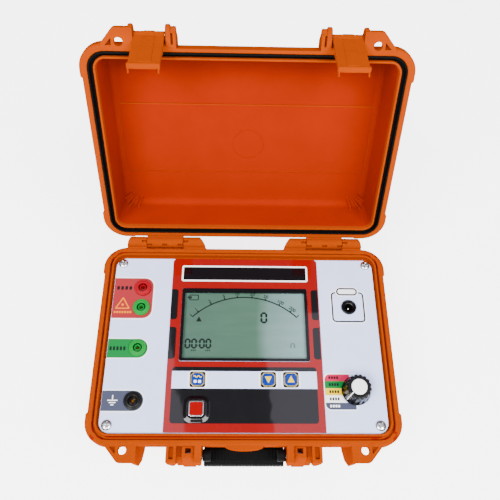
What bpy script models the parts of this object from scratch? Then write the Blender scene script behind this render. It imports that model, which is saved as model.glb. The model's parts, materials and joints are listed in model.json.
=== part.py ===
"""Insulation resistance tester in a hinged hard case, with its lid standing open.

Blender works in metres here, +Z up. The origin is the middle of the case's underside, and
-Y is the front, with the carrying handle and the two catches. Every size below is in
millimetres, and add_object turns it into metres. "Inset" is a distance in from the rim's
outer edge. The lid and all that it carries are drawn as they lie when the lid is closed,
and the empty on the hinge line then turns them up to the open position.
"""

import math

import bmesh
import bpy
from mathutils import Matrix

MM = 0.001
GAP = 0.3

# Case
CASE_WIDTH = 280.0
CASE_DEPTH = 193.0
RIM_Z = 86.0
LID_TOP_Z = 130.0
LID_OPEN_DEG = 115.6
WALL = 3.2
CORNER_RADIUS = 21.0
CORNER_BULGE = (1.5, 0.6)
CORNER_STEPS = 5
FRONT = -CASE_DEPTH / 2
REAR = CASE_DEPTH / 2

# Rim: the base's tongue stands in the lid's groove
FLANGE_INSET = 5.4
FLANGE_UNDERSIDE_Z = 76.5
TONGUE = (7.7, 9.7)
TONGUE_Z = 89.2
LID_LIP = (10.2, 12.0)
SEAL_Z = (89.6, 91.2)
SEAL_SHOULDER = (7.3, 87.1)
LEDGE_Z = 83.0
GROOVE_Z = 83.2
LEDGE_INSET = 16.0

# Hinge
HINGE_Y = REAR + 6.4
HINGE_Z = RIM_Z
BARREL_RADIUS = 5.5
PIN_RADIUS = 1.6
LID_KNUCKLE_X = (63.2, 99.6)
BASE_BLOCK_X = (39.4, 120.2)
BASE_BLOCK_TIP_X = (47.0, 116.4)
KNUCKLE_GAP = 0.4
HINGE_WEB = (REAR + 7.0, 79.7)

# Raised field across the lid's inside: half width, then its front and rear edges
PLATEAU = (121.4, -30.0, 42.0)

# Front lugs, shared by base and lid, as distances from the middle of the case
EAR_X = (94.0, 110.0, 121.0)
EAR_REACH = 13.9
EAR_HOLE = (106.0, 3.6, 3.6)
EAR_WALL_X = (94.0, 98.0)
RIB_X = (59.1, 68.2)
RIB_POCKET_X = (62.4, 65.8)
BRACKET_X = (43.5, 59.1)
INNER_RIB_X = (39.1, 43.5)
LUG_KEEL = ((FRONT - EAR_REACH, 60.0), (FRONT - 7.4, 43.0), (FRONT + 4.0, 31.0))
EAR_BOSS = (FRONT - 10.0, 92.0)
CATCH_ROOF = (FRONT - 7.6, 97.4, 99.4)
FLANGE_ROOT = 4.0
WALL_ROOT = 10.8

# Catches
CATCH_X = (68.6, 93.6)
CATCH_PIVOT = (FRONT - 6.8, 92.0)
CATCH_TILT_DEG = 14.5
CATCH_LENGTH = 46.5
CATCH_BARREL_RADIUS = 2.8
CATCH_PIN_RADIUS = 1.5
CATCH_PIN_X = (61.6, 97.6)

# Carrying handle
HANDLE_HALF = 38.3
HANDLE_ARM_IN = 31.0
HANDLE_NECK = (31.6, 35.6, FRONT - 9.0, FRONT + 0.6)
HANDLE_PIVOT = (FRONT - 6.5, 74.0)
GRIP_Y = (FRONT - 13.0, FRONT + 4.6)
GRIP_Z = (42.0, 56.0)
GRIP_HALF = 37.4

# Instrument panel
PANEL_X = 128.5
PANEL_Y = (FRONT + 10.2, FRONT + 180.4)
PANEL_Z = (83.3, 85.8)
OVERLAY_X = (-71.7, 72.5)
OVERLAY_Y = (FRONT + 10.8, FRONT + 180.1)
OVERLAY_Z = (86.1, 86.7)
PANEL_SCREWS = ((-121.4, FRONT + 17.2), (121.4, FRONT + 17.2),
                (-121.8, FRONT + 174.6), (121.8, FRONT + 174.6))
SCREW_HEAD = 4.4

# Display
WINDOW = (-61.0, 61.0, FRONT + 75.0, FRONT + 148.0)
WINDOW_Z = (86.1, 87.1)
VIEW_MARGIN = 1.8
LCD_Z = (80.3, 83.0)
BACKLIGHT_Z = (76.4, 80.0)

# Keys
KEY_SIZE = 13.6
KEY_Y = FRONT + 57.9
KEY_PLACES = (("mode_key", -43.0), ("down_key", 21.8), ("up_key", 42.6))
KEY_TOP_Z = 87.8
KEY_SWITCH_TOP_Z = 73.6
KEY_TRAVEL = 1.2
TEST_KEY_PLACE = (-43.0, FRONT + 31.2)
TEST_KEY_TOP_Z = 89.8
TEST_KEY_TRAVEL = 2.0
SURROUND_Z = (87.0, 88.2)

# Sockets: name, distance from the front, body colour
SOCKET_X = -100.2
SOCKETS = (("line", 148.4, "red"), ("check", 127.9, "green"),
           ("guard", 87.5, "green"), ("earth", 38.5, "black"))
SOCKET_FLANGE = 8.25
SOCKET_TOP_Z = 88.6
SOCKET_BORE = 3.9
CHARGE_PLACE = (101.7, FRONT + 129.4)
CHARGE_TOP_Z = 88.0

# Range selector
SELECTOR_PLACE = (101.7, FRONT + 48.0)
KNOB_RADIUS = 13.3
KNOB_Z = (86.7, 103.0)
KNOB_FLUTES = 16
CAP_RADIUS = 7.0

# Inside the base
BOARD_X = (-88.0, 84.0)
BOARD_Y = (-76.0, 74.0)
BOARD_Z = (66.0, 67.6)
STANDOFFS = ((-82.0, -70.0), (78.0, -70.0), (-82.0, 68.0), (78.0, 68.0))
BATTERY_BOX = (-105.0, 25.0, -66.0, -2.0, 3.6, 42.0)
STRAP_X = (-52.0, -28.0)
HV_BOX = (-30.0, 62.0, 14.0, 72.0, 3.6, 40.0)


def material(name, colour, roughness, metallic=0.0):
    """Make a Principled material."""
    made = bpy.data.materials.new(name)
    made.use_nodes = True
    shader = made.node_tree.nodes["Principled BSDF"]
    shader.inputs["Base Color"].default_value = (*colour, 1.0)
    shader.inputs["Roughness"].default_value = roughness
    shader.inputs["Metallic"].default_value = metallic
    return made


def add_object(name, shape, finish, parent=None, at=(0.0, 0.0, 0.0)):
    """Turn a mesh in millimetres into a named object, with its origin at a point."""
    bmesh.ops.translate(shape, verts=shape.verts, vec=[-value for value in at])
    bmesh.ops.scale(shape, verts=shape.verts, vec=(MM, MM, MM))
    bmesh.ops.recalc_face_normals(shape, faces=shape.faces)
    mesh = bpy.data.meshes.new(name)
    shape.to_mesh(mesh)
    shape.free()
    mesh.materials.append(finish)
    mesh.shade_smooth()
    mesh.set_sharp_from_angle(angle=math.radians(35))
    made = bpy.data.objects.new(name, mesh)
    bpy.context.collection.objects.link(made)
    made.parent = parent
    made.location = [value * MM for value in at]
    return made


def add_pivot(name, at, turn_deg=0.0, parent=None):
    """Make an empty that stands on a joint's axis, turned about X."""
    made = bpy.data.objects.new(name, None)
    bpy.context.collection.objects.link(made)
    made.parent = parent
    made.location = [value * MM for value in at]
    made.rotation_euler = (math.radians(turn_deg), 0.0, 0.0)
    return made


def loft(rings, closed=False):
    """Join rings of equal length into a solid, with end caps unless it closes on itself."""
    shape = bmesh.new()
    loops = [[shape.verts.new(point) for point in ring] for ring in rings]
    pairs = list(zip(loops, loops[1:]))
    if closed:
        pairs.append((loops[-1], loops[0]))
    else:
        shape.faces.new(loops[0])
        shape.faces.new(list(reversed(loops[-1])))
    count = len(loops[0])
    for low, high in pairs:
        for index in range(count):
            after = (index + 1) % count
            shape.faces.new((low[index], low[after], high[after], high[index]))
    bmesh.ops.recalc_face_normals(shape, faces=shape.faces)
    return shape


def prism(points, low, high, axis="z"):
    """Extrude an outline: (x, y) along z, (y, z) along x or (x, z) along y."""
    order = {"z": lambda a, b, c: (a, b, c), "x": lambda a, b, c: (c, a, b),
             "y": lambda a, b, c: (a, c, b)}[axis]
    return loft([[order(a, b, level) for a, b in points] for level in (low, high)])


def box(x_low, x_high, y_low, y_high, z_low, z_high):
    """Make a plain block."""
    corners = ((x_low, y_low), (x_high, y_low), (x_high, y_high), (x_low, y_high))
    return prism(corners, z_low, z_high)


def rounded_rectangle(x_low, x_high, y_low, y_high, radius, steps=4):
    """Outline with four round corners."""
    points = []
    for quarter, (x, y) in enumerate(((x_high, y_high), (x_low, y_high),
                                      (x_low, y_low), (x_high, y_low))):
        centre_x = x - math.copysign(radius, x - (x_low + x_high) / 2)
        centre_y = y - math.copysign(radius, y - (y_low + y_high) / 2)
        points += arc(centre_x, centre_y, radius, 90 * quarter, 90 * quarter + 90, steps)
    return points


def arc(centre_a, centre_b, radius, start_deg, end_deg, steps):
    """Points along an arc, ends included."""
    points = []
    for step in range(steps + 1):
        angle = math.radians(start_deg + (end_deg - start_deg) * step / steps)
        points.append((centre_a + radius * math.cos(angle),
                       centre_b + radius * math.sin(angle)))
    return points


def circle(centre_a, centre_b, radius, steps=20):
    """Points round a circle."""
    return arc(centre_a, centre_b, radius, 0, 360 - 360 / steps, steps - 1)


def cylinder(centre, radius, low, high, axis="z", steps=20):
    """Make a round bar."""
    return prism(circle(*centre, radius, steps), low, high, axis)


def turned(profile, centre, steps=20):
    """Revolve an outline of (radius, z) about a vertical axis."""
    shape = bmesh.new()
    rings = []
    for radius, height in profile:
        if radius < 1e-6:
            rings.append([shape.verts.new((centre[0], centre[1], height))])
        else:
            rings.append([shape.verts.new((x, y, height))
                          for x, y in circle(*centre, radius, steps)])
    for low, high in zip(rings, rings[1:] + rings[:1]):
        for index in range(steps):
            after = (index + 1) % steps
            corners = [low[index % len(low)], low[after % len(low)],
                       high[after % len(high)], high[index % len(high)]]
            unique = list(dict.fromkeys(corners))
            if len(unique) > 2:
                shape.faces.new(unique)
    bmesh.ops.recalc_face_normals(shape, faces=shape.faces)
    return shape


def mirrored(shape):
    """Return a copy on the other side of the case's middle plane."""
    copy = shape.copy()
    bmesh.ops.transform(copy, matrix=Matrix.Scale(-1, 4, (1, 0, 0)), verts=copy.verts)
    bmesh.ops.reverse_faces(copy, faces=copy.faces)
    return copy


def both_sides(*shapes):
    """Return each shape with its mirror image."""
    return [side for shape in shapes for side in (shape, mirrored(shape))]


def combined(shape, tools, operation):
    """Return the closed mesh left after a Boolean with each tool in turn."""
    scratch = []
    for part in (shape, *tools):
        mesh = bpy.data.meshes.new("scratch")
        part.to_mesh(mesh)
        part.free()
        helper = bpy.data.objects.new("scratch", mesh)
        bpy.context.collection.objects.link(helper)
        scratch.append(helper)
    for helper in scratch[1:]:
        step = scratch[0].modifiers.new("step", "BOOLEAN")
        step.operation = operation
        step.solver = "EXACT"
        step.object = helper
    bpy.context.view_layer.update()
    result = bmesh.new()
    result.from_object(scratch[0], bpy.context.evaluated_depsgraph_get())
    for helper in scratch:
        bpy.data.objects.remove(helper)
    bmesh.ops.remove_doubles(result, verts=result.verts, dist=1e-3)
    bmesh.ops.dissolve_limit(result, angle_limit=math.radians(0.2),
                             verts=result.verts, edges=result.edges)
    return result


def joined(shape, *tools):
    """Boolean union."""
    return combined(shape, tools, "UNION")


def cut(shape, *tools):
    """Boolean difference."""
    return combined(shape, tools, "DIFFERENCE")


def case_ring(inset, height, bulge=0.0):
    """One ring of the case's outline, with corners that can stand proud of the sides."""
    half_x = CASE_WIDTH / 2 - inset
    half_y = CASE_DEPTH / 2 - inset
    radius = max(CORNER_RADIUS - inset, 4.0)
    step_x = half_x - radius
    step_y = half_y - radius
    proud_x = CORNER_BULGE[0] * bulge
    proud_y = CORNER_BULGE[1] * bulge
    corner = [(half_x, step_y - 8.0), (half_x + proud_x, step_y - 6.0)]
    for step in range(CORNER_STEPS + 1):
        angle = math.radians(90.0 * step / CORNER_STEPS)
        corner.append((step_x + (radius + proud_x) * math.cos(angle),
                       step_y + (radius + proud_y) * math.sin(angle)))
    corner += [(step_x - 6.0, half_y + proud_y), (step_x - 8.0, half_y)]
    backwards = list(reversed(corner))
    ring = corner + [(-x, y) for x, y in backwards]
    ring += [(-x, -y) for x, y in corner] + [(x, -y) for x, y in backwards]
    return [(x, y, height) for x, y in ring]


def case_loft(rows, closed=False):
    """Loft the case's outline through rows of (inset, height, corner bulge)."""
    return loft([case_ring(*row) for row in rows], closed)


def base_lug_outline():
    """Side view of a front lug of the base, rooted in the rim's flange and the wall."""
    flange = FRONT + FLANGE_ROOT
    wall = FRONT + WALL_ROOT
    return [(flange, RIM_Z - 0.4), (FRONT - EAR_REACH, RIM_Z - 0.4), *LUG_KEEL,
            (wall, LUG_KEEL[-1][1] - 4.0), (wall, RIM_Z - 12.0), (flange, RIM_Z - 8.0)]


def lid_lug_outline():
    """Side view of a front lug of the lid, with its round boss round the catch's pin."""
    flange = FRONT + FLANGE_ROOT
    wall = FRONT + WALL_ROOT
    points = [(flange, RIM_Z + 0.6), (EAR_BOSS[0], RIM_Z + 0.6)]
    points += arc(*EAR_BOSS, EAR_BOSS[1] - RIM_Z - 0.6, 270, 90, 8)[1:]
    return points + [(FRONT - 2.0, 104.0), (wall, 104.0), (wall, RIM_Z + 12.0),
                     (flange, RIM_Z + 8.0)]


def ear_plate(low, high):
    """Flat ear with its padlock hole, on the right-hand side."""
    inner, corner, outer = EAR_X
    outline = ((inner, FRONT + 4.0), (inner, FRONT - EAR_REACH), (corner, FRONT - EAR_REACH),
               (outer, FRONT - 1.0), (outer, FRONT + 4.0))
    return prism(list(reversed(outline)), low, high)


def ear_hole(low, high):
    """Cutter for the padlock hole in a right-hand ear."""
    across, forward, radius = EAR_HOLE
    return cylinder((across, FRONT - forward), radius, low, high)


def hinge_outline(upper):
    """Side view of a knuckle: the barrel and the web that joins it to the rim."""
    start = REAR - 3.5
    if upper:
        web_z = RIM_Z + 0.8
        points = [(start, web_z), (REAR + 0.9, web_z)]
        points += arc(HINGE_Y, HINGE_Z, BARREL_RADIUS, 172, 450, 18)
        return points + [(REAR + 1.0, 94.4), (start, 94.4)]
    points = [(start, FLANGE_UNDERSIDE_Z), (start, RIM_Z - 0.5), (REAR + 0.95, RIM_Z - 0.5)]
    points += arc(HINGE_Y, HINGE_Z, BARREL_RADIUS, 176, -90, 18)
    return points + [(REAR + 1.0, FLANGE_UNDERSIDE_Z)]


def base_hinge_block(x_low, x_high):
    """Part of a base hinge block between two x values, with its outer ends tapered."""
    near, far = REAR - 4.0, REAR + 12.2
    taper = [(BASE_BLOCK_X[0], near), (BASE_BLOCK_X[1], near), (BASE_BLOCK_X[1], REAR),
             (BASE_BLOCK_TIP_X[1], far), (BASE_BLOCK_TIP_X[0], far), (BASE_BLOCK_X[0], REAR)]
    knuckle = prism(hinge_outline(False), x_low, x_high, "x")
    return combined(knuckle, [prism(taper, 60.0, 110.0)], "INTERSECT")


def base_shell_body():
    """Lower case: outside up to the rim, over the tongue, and down the inside to the floor."""
    rows = [(18.0, 0.0), (13.6, 2.2), (11.4, 7.0), (8.8, FLANGE_UNDERSIDE_Z - 2.0),
            (8.4, FLANGE_UNDERSIDE_Z)]
    rows = [(*row, 0.0) for row in rows]
    rows += [(0.8, FLANGE_UNDERSIDE_Z, 1.0), (0.0, FLANGE_UNDERSIDE_Z + 0.8, 1.0),
             (0.0, RIM_Z - 2.0, 1.0), (2.0, RIM_Z, 1.0)]
    rows += [(FLANGE_INSET, RIM_Z, 0.0), (FLANGE_INSET + 0.3, GROOVE_Z, 0.0),
             (TONGUE[0], GROOVE_Z, 0.0), (TONGUE[0] + 0.2, TONGUE_Z, 0.0),
             (TONGUE[1] - 0.1, TONGUE_Z, 0.0), (TONGUE[1], LEDGE_Z, 0.0),
             (LEDGE_INSET, LEDGE_Z, 0.0), (LEDGE_INSET, LEDGE_Z - 4.0, 0.0),
             (8.8 + WALL, 72.0, 0.0), (11.4 + WALL, 9.0, 0.0), (13.6 + WALL, 4.6, 0.0),
             (20.0, WALL, 0.0)]
    return case_loft(rows)


def base_front_features():
    """Ears, ribs, handle brackets and the finger lip on the front of the base."""
    ear = ear_plate(RIM_Z - 5.0, RIM_Z - 0.4)
    ear_wall = prism(base_lug_outline(), *EAR_WALL_X, "x")
    rib = prism(base_lug_outline(), *RIB_X, "x")
    inner_rib = prism(base_lug_outline(), *INNER_RIB_X, "x")
    wall = FRONT + WALL_ROOT
    bracket = prism([(wall, 80.5), (FRONT - 9.0, 80.5), (FRONT - 9.6, 73.0),
                     (FRONT - 11.8, 71.0), (FRONT - 11.0, 50.0), (wall, 40.0)],
                    BRACKET_X[0] - 0.5, BRACKET_X[1] + 0.5, "x")
    lip = [(17.0, FRONT + 1.0), (17.0, FRONT)]
    lip += [(17.0 * math.cos(a), FRONT - 4.0 * math.sin(a))
            for a in [math.pi * step / 10 for step in range(1, 10)]]
    lip += [(-17.0, FRONT), (-17.0, FRONT + 1.0)]
    return both_sides(ear, ear_wall, rib, inner_rib, bracket) + [prism(lip, 81.0, 84.4)]


def base_front_cuts():
    """Padlock holes, rib pockets, bracket windows and handle pin holes."""
    hole = ear_hole(RIM_Z - 8.0, RIM_Z + 2.0)
    pocket = box(*RIB_POCKET_X, FRONT - 11.0, FRONT - 0.8, 72.0, RIM_Z + 2.0)
    window = box(48.0, 53.5, FRONT - 7.0, FRONT - 1.8, 66.0, RIM_Z + 2.0)
    pin = cylinder(HANDLE_PIVOT, PIN_RADIUS + GAP, INNER_RIB_X[0] - 1.0, 47.0, "x", 16)
    return both_sides(hole, pocket, window, pin)


def add_base_shell(finish):
    """The orange lower case."""
    body = base_shell_body()
    knuckles = [base_hinge_block(BASE_BLOCK_X[0] - 1.0, LID_KNUCKLE_X[0] - KNUCKLE_GAP),
                base_hinge_block(LID_KNUCKLE_X[1] + KNUCKLE_GAP, BASE_BLOCK_X[1] + 1.0)]
    bosses = [cylinder(place, 5.2, 58.0, LEDGE_Z - 0.01) for place in PANEL_SCREWS]
    web = box(LID_KNUCKLE_X[0] - 2.0, LID_KNUCKLE_X[1] + 2.0, REAR - 3.5, HINGE_WEB[0],
              FLANGE_UNDERSIDE_Z, HINGE_WEB[1])
    body = joined(body, *base_front_features(), *both_sides(*knuckles, web), *bosses)
    pin = cylinder((HINGE_Y, HINGE_Z), PIN_RADIUS + GAP, 35.0, 125.0, "x", 16)
    screw_holes = [cylinder(place, 1.9, 62.0, LEDGE_Z + 1.0, steps=16)
                   for place in PANEL_SCREWS]
    body = cut(body, *base_front_cuts(), *both_sides(pin), *screw_holes)
    return add_object("base_shell", body, finish)


def lid_shell_body():
    """Lid: outside from the crown down to the rim, over groove and lip, and back inside."""
    rows = [(21.0, LID_TOP_Z, 0.0), (15.6, LID_TOP_Z - 1.8, 0.0), (12.4, LID_TOP_Z - 7.0, 0.0),
            (8.9, RIM_Z + 10.5, 0.0), (0.8, RIM_Z + 9.8, 1.0), (0.0, RIM_Z + 9.0, 1.0),
            (0.0, RIM_Z + 2.3, 1.0), (2.0, RIM_Z + GAP, 1.0), (FLANGE_INSET, RIM_Z + GAP, 0.0),
            (FLANGE_INSET + 0.1, SEAL_Z[1] + GAP, 0.0), (LID_LIP[0] - 0.1, SEAL_Z[1] + GAP, 0.0),
            (LID_LIP[0], RIM_Z + 1.2, 0.0), (LID_LIP[1], RIM_Z + 1.2, 0.0),
            (12.8, RIM_Z + 6.5, 0.0), (15.4, 120.5, 0.0), (18.0, 125.2, 0.0),
            (23.0, LID_TOP_Z - 3.0, 0.0)]
    return case_loft(rows)


def add_lid_shell(finish, parent):
    """The orange lid, with its ears, catch lugs and hinge knuckles."""
    body = lid_shell_body()
    ear = ear_plate(RIM_Z + GAP, RIM_Z + 5.0)
    ear_wall = prism(lid_lug_outline(), *EAR_WALL_X, "x")
    rib = prism(lid_lug_outline(), RIB_X[0], RIB_X[1] - GAP, "x")
    roof = box(RIB_X[1] - 1.0, EAR_WALL_X[0] + 1.0, CATCH_ROOF[0], FRONT + WALL_ROOT,
               *CATCH_ROOF[1:])
    knuckle = prism(hinge_outline(True), *LID_KNUCKLE_X, "x")
    plateau = box(-PLATEAU[0], PLATEAU[0], *PLATEAU[1:], 126.0, 128.5)
    body = joined(body, *both_sides(ear, ear_wall, rib, knuckle, roof), plateau)
    hole = ear_hole(RIM_Z - 2.0, RIM_Z + 8.0)
    pocket = box(*RIB_POCKET_X, FRONT - 9.6, FRONT - 1.0, RIM_Z - 2.0, 93.5)
    catch_pin = cylinder(CATCH_PIVOT, CATCH_PIN_RADIUS + GAP, 61.0, 101.0, "x", 16)
    hinge_pin = cylinder((HINGE_Y, HINGE_Z), PIN_RADIUS + GAP, 60.0, 103.0, "x", 16)
    recess = prism(rounded_rectangle(-104.0, 104.0, -29.0, 41.0, 6.0), 129.0, 133.0)
    body = cut(body, *both_sides(hole, pocket, catch_pin, hinge_pin), recess)
    return add_on_lid("lid_shell", body, finish, parent)


def add_on_lid(name, shape, finish, parent):
    """Add a piece drawn in the closed position under the hinge line's empty."""
    bmesh.ops.translate(shape, verts=shape.verts, vec=(0.0, -HINGE_Y, -HINGE_Z))
    return add_object(name, shape, finish, parent)


def add_lid_seal(finish, parent):
    """Rubber ring that lies in the lid's groove."""
    low, high = SEAL_Z
    outer, inner = FLANGE_INSET + 0.5, LID_LIP[0] - 0.4
    edge, crest = SEAL_SHOULDER
    rows = [(outer, high), (outer, crest + 0.4), (outer + 0.4, crest), (edge - 0.4, crest),
            (edge, crest + 0.4), (edge, low), (inner - 0.7, low), (inner, low + 0.7),
            (inner, high)]
    return add_on_lid("lid_seal", case_loft(rows, closed=True), finish, parent)


def catch_outline():
    """Side view of a catch that hangs from its pivot, with its hook and finger bar."""
    half = 1.4
    end = -CATCH_LENGTH
    outline = arc(0.0, 0.0, CATCH_BARREL_RADIUS, -20, 206, 10)
    outline += [(-half, -4.0), (-half, end + 6.0)]
    outline += arc(-half - 0.6, end + 2.2, 2.6, 100, 300, 8)
    outline += [(half, end), (half, -35.0), (2.6, -27.0), (3.9, -21.6), (4.28, -19.3),
                (half, -18.6), (half, -4.0)]
    return outline


def add_catch(name, side, finish, metal, lid_pivot):
    """One catch on its own pivot, and the steel pin that holds it in the lid's lugs."""
    at = (0.0, CATCH_PIVOT[0] - HINGE_Y, CATCH_PIVOT[1] - HINGE_Z)
    pivot = add_pivot(name + "_pivot", at, CATCH_TILT_DEG, lid_pivot)
    body = prism(catch_outline(), *CATCH_X, "x")
    body = cut(body, cylinder((0.0, 0.0), CATCH_PIN_RADIUS + GAP, 60.0, 100.0, "x", 16))
    pin = cylinder(CATCH_PIVOT, CATCH_PIN_RADIUS, *CATCH_PIN_X, "x", 12)
    if side < 0:
        body = mirrored(body)
        pin = mirrored(pin)
    add_object(name, body, finish, pivot)
    add_on_lid(name + "_pin", pin, metal, lid_pivot)


def add_hinge_pins(metal):
    """Two steel pins, one through each set of knuckles."""
    for name, side in (("hinge_pin_left", -1), ("hinge_pin_right", 1)):
        shape = cylinder((HINGE_Y, HINGE_Z), PIN_RADIUS, 45.0, 117.0, "x", 12)
        add_object(name, shape if side > 0 else mirrored(shape), metal)


def handle_section(inset):
    """Outline of the grip, (y, z), with round corners."""
    return rounded_rectangle(GRIP_Y[0] + inset, GRIP_Y[1] - inset,
                             GRIP_Z[0] + inset, GRIP_Z[1] - inset, 4.6 - inset, 4)


def add_handle(plastic, rubber, metal):
    """Folding handle: core with two arms, rubber sleeve, and its two pivot pins."""
    pivot = add_pivot("handle_pivot", (0.0, *HANDLE_PIVOT))
    rail = prism(handle_section(2.4), -GRIP_HALF + 0.4, GRIP_HALF - 0.4, "x")
    shoulder = GRIP_Z[1] + GAP
    arm = [(GRIP_Y[0] + 2.0, shoulder), (GRIP_Y[1] - 2.0, shoulder)]
    arm += arc(*HANDLE_PIVOT, 5.4, 10, 170, 8)
    arm = prism(arm, HANDLE_ARM_IN - 1.4, HANDLE_HALF, "x")
    neck = box(*HANDLE_NECK, GRIP_Z[1] - 4.0, shoulder + 1.0)
    core = joined(rail, *both_sides(arm, neck))
    hole = cylinder(HANDLE_PIVOT, PIN_RADIUS + GAP, HANDLE_ARM_IN + 1.5, 42.0, "x", 16)
    core = cut(core, *both_sides(hole))
    sleeve = prism(handle_section(0.0), -GRIP_HALF, GRIP_HALF, "x")
    x_low, x_high, y_low, y_high = HANDLE_NECK
    slot = box(x_low - GAP, x_high + GAP, y_low - GAP, y_high + GAP, GRIP_Z[1] - 3.0,
               GRIP_Z[1] + 1.0)
    sleeve = cut(sleeve, prism(handle_section(2.1), -40.0, 40.0, "x"), *both_sides(slot))
    for name, shape, finish in (("handle_core", core, plastic), ("handle_grip", sleeve, rubber)):
        bmesh.ops.translate(shape, verts=shape.verts, vec=(0.0, -HANDLE_PIVOT[0], -HANDLE_PIVOT[1]))
        add_object(name, shape, finish, pivot)
    for name, side in (("handle_pin_left", -1), ("handle_pin_right", 1)):
        shape = cylinder(HANDLE_PIVOT, PIN_RADIUS, HANDLE_ARM_IN + 2.0, 46.0, "x", 12)
        add_object(name, shape if side > 0 else mirrored(shape), metal)


def key_well(place, size, low, high):
    """Cutter for a square key hole."""
    half = size / 2
    return prism(rounded_rectangle(place[0] - half, place[0] + half, place[1] - half,
                                   place[1] + half, 1.6, 3), low, high)


def key_places():
    """Places of all four keys."""
    return [(x, KEY_Y) for name, x in KEY_PLACES] + [TEST_KEY_PLACE]


def add_front_panel(finish):
    """Instrument panel with its holes for sockets, keys, selector and display."""
    low, high = PANEL_Z[0] - 2.0, PANEL_Z[1] + 2.0
    outline = rounded_rectangle(-PANEL_X, PANEL_X, *PANEL_Y, 10.0, 5)
    cutters = [cylinder((SOCKET_X, FRONT + y), 6.6, low, high) for name, y, colour in SOCKETS]
    cutters += [cylinder(place, 2.1, low, high, steps=16) for place in PANEL_SCREWS]
    cutters += [key_well(place, KEY_SIZE + 0.8, low, high) for place in key_places()]
    x_low, x_high, y_low, y_high = WINDOW
    margin = VIEW_MARGIN
    cutters.append(box(x_low + margin, x_high - margin, y_low + margin, y_high - margin,
                       low, high))
    cutters.append(cylinder(CHARGE_PLACE, 5.9, low, high))
    cutters.append(cylinder(SELECTOR_PLACE, 4.9, low, high))
    add_object("front_panel", cut(prism(outline, *PANEL_Z), *cutters), finish)


def add_overlay(finish):
    """Red overlay on the middle of the panel, with chamfered rear corners."""
    x_low, x_high = OVERLAY_X
    y_low, y_high = OVERLAY_Y
    chamfer = 2.2
    outline = [(x_low, y_low), (x_high, y_low), (x_high, y_high - chamfer),
               (x_high - chamfer, y_high), (x_low + chamfer, y_high), (x_low, y_high - chamfer)]
    low, high = OVERLAY_Z[0] - 2.0, OVERLAY_Z[1] + 2.0
    cutters = [key_well(place, KEY_SIZE + 0.8, low, high) for place in key_places()]
    x_low, x_high, y_low, y_high = WINDOW
    cutters.append(box(x_low - GAP, x_high + GAP, y_low - GAP, y_high + GAP, low, high))
    add_object("centre_overlay", cut(prism(outline, *OVERLAY_Z), *cutters), finish)


def add_display(glass, lcd, light):
    """Window, liquid crystal panel and the light guide behind it."""
    x_low, x_high, y_low, y_high = WINDOW
    add_object("display_window", prism(rounded_rectangle(*WINDOW, 1.5, 2), *WINDOW_Z), glass)
    edge = 1.0
    add_object("lcd_panel", box(x_low - edge, x_high + edge, y_low - edge, y_high + edge,
                                *LCD_Z), lcd)
    add_object("lcd_backlight", box(x_low, x_high, y_low, y_high, *BACKLIGHT_Z), light)


def key_shape(place, top_z, switch_top_z, travel):
    """Key cap, its retaining flange under the panel and the stem down to its switch."""
    cap = key_well(place, KEY_SIZE, PANEL_Z[0] - 0.6, top_z)
    flange = key_well(place, KEY_SIZE + 2.8, PANEL_Z[0] - 1.9, PANEL_Z[0] - 0.5)
    stem = cylinder(place, 2.5, switch_top_z + travel + 0.5, PANEL_Z[0] - 1.0, steps=12)
    return joined(cap, flange, stem)


def add_keys(blue, red, dark, switch_finish):
    """Three blue keys, the red test key with its surround, and the switches below them."""
    for name, x in KEY_PLACES:
        add_key(name, (x, KEY_Y), KEY_TOP_Z, KEY_TRAVEL, blue, switch_finish)
    add_key("test_key", TEST_KEY_PLACE, TEST_KEY_TOP_Z, TEST_KEY_TRAVEL, red, switch_finish)
    x, y = TEST_KEY_PLACE
    ring = prism(rounded_rectangle(x - 10.5, x + 10.5, y - 10.5, y + 10.5, 3.0), *SURROUND_Z)
    ring = cut(ring, key_well(TEST_KEY_PLACE, KEY_SIZE + 0.8, 80.0, 95.0))
    add_object("test_key_surround", ring, dark)


def add_key(name, place, top_z, travel, finish, switch_finish):
    """One key, with its origin on the line that it slides along, and its switch."""
    x, y = place
    add_object(name, key_shape(place, top_z, KEY_SWITCH_TOP_Z, travel), finish,
               at=(x, y, top_z))
    block = box(x - 3.0, x + 3.0, y - 3.0, y + 3.0, BOARD_Z[1] + GAP, 72.0)
    plunger = cylinder(place, 1.7, 71.0, KEY_SWITCH_TOP_Z, steps=12)
    add_object(name + "_switch", joined(block, plunger), switch_finish)


def add_socket(name, y, finish, brass, metal):
    """Insulated socket, its sprung contact and the nut behind the panel."""
    place = (SOCKET_X, FRONT + y)
    top = SOCKET_TOP_Z
    body = [(6.2, 60.0), (6.2, PANEL_Z[1] + GAP), (SOCKET_FLANGE, PANEL_Z[1] + GAP),
            (SOCKET_FLANGE, top - 0.9), (SOCKET_FLANGE - 0.9, top), (SOCKET_BORE, top),
            (SOCKET_BORE, 62.0), (1.8, 62.0), (1.8, 60.0)]
    add_object(name + "_socket", turned(body, place), finish)
    contact = [(0.0, 54.0), (1.5, 54.0), (1.5, 62.4), (3.3, 62.4), (3.3, 83.2), (2.0, 83.2),
               (2.0, 65.0), (0.0, 65.0)]
    add_object(name + "_contact", turned(contact, place, 12), brass)
    add_nut(name + "_nut", place, 9.0, 6.5, 79.4, PANEL_Z[0] - GAP, metal)


def add_nut(name, place, radius, hole, low, high, finish):
    """Hexagonal nut."""
    shape = cut(cylinder(place, radius, low, high, steps=6),
                cylinder(place, hole, low - 1.0, high + 1.0))
    add_object(name, shape, finish)


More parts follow.
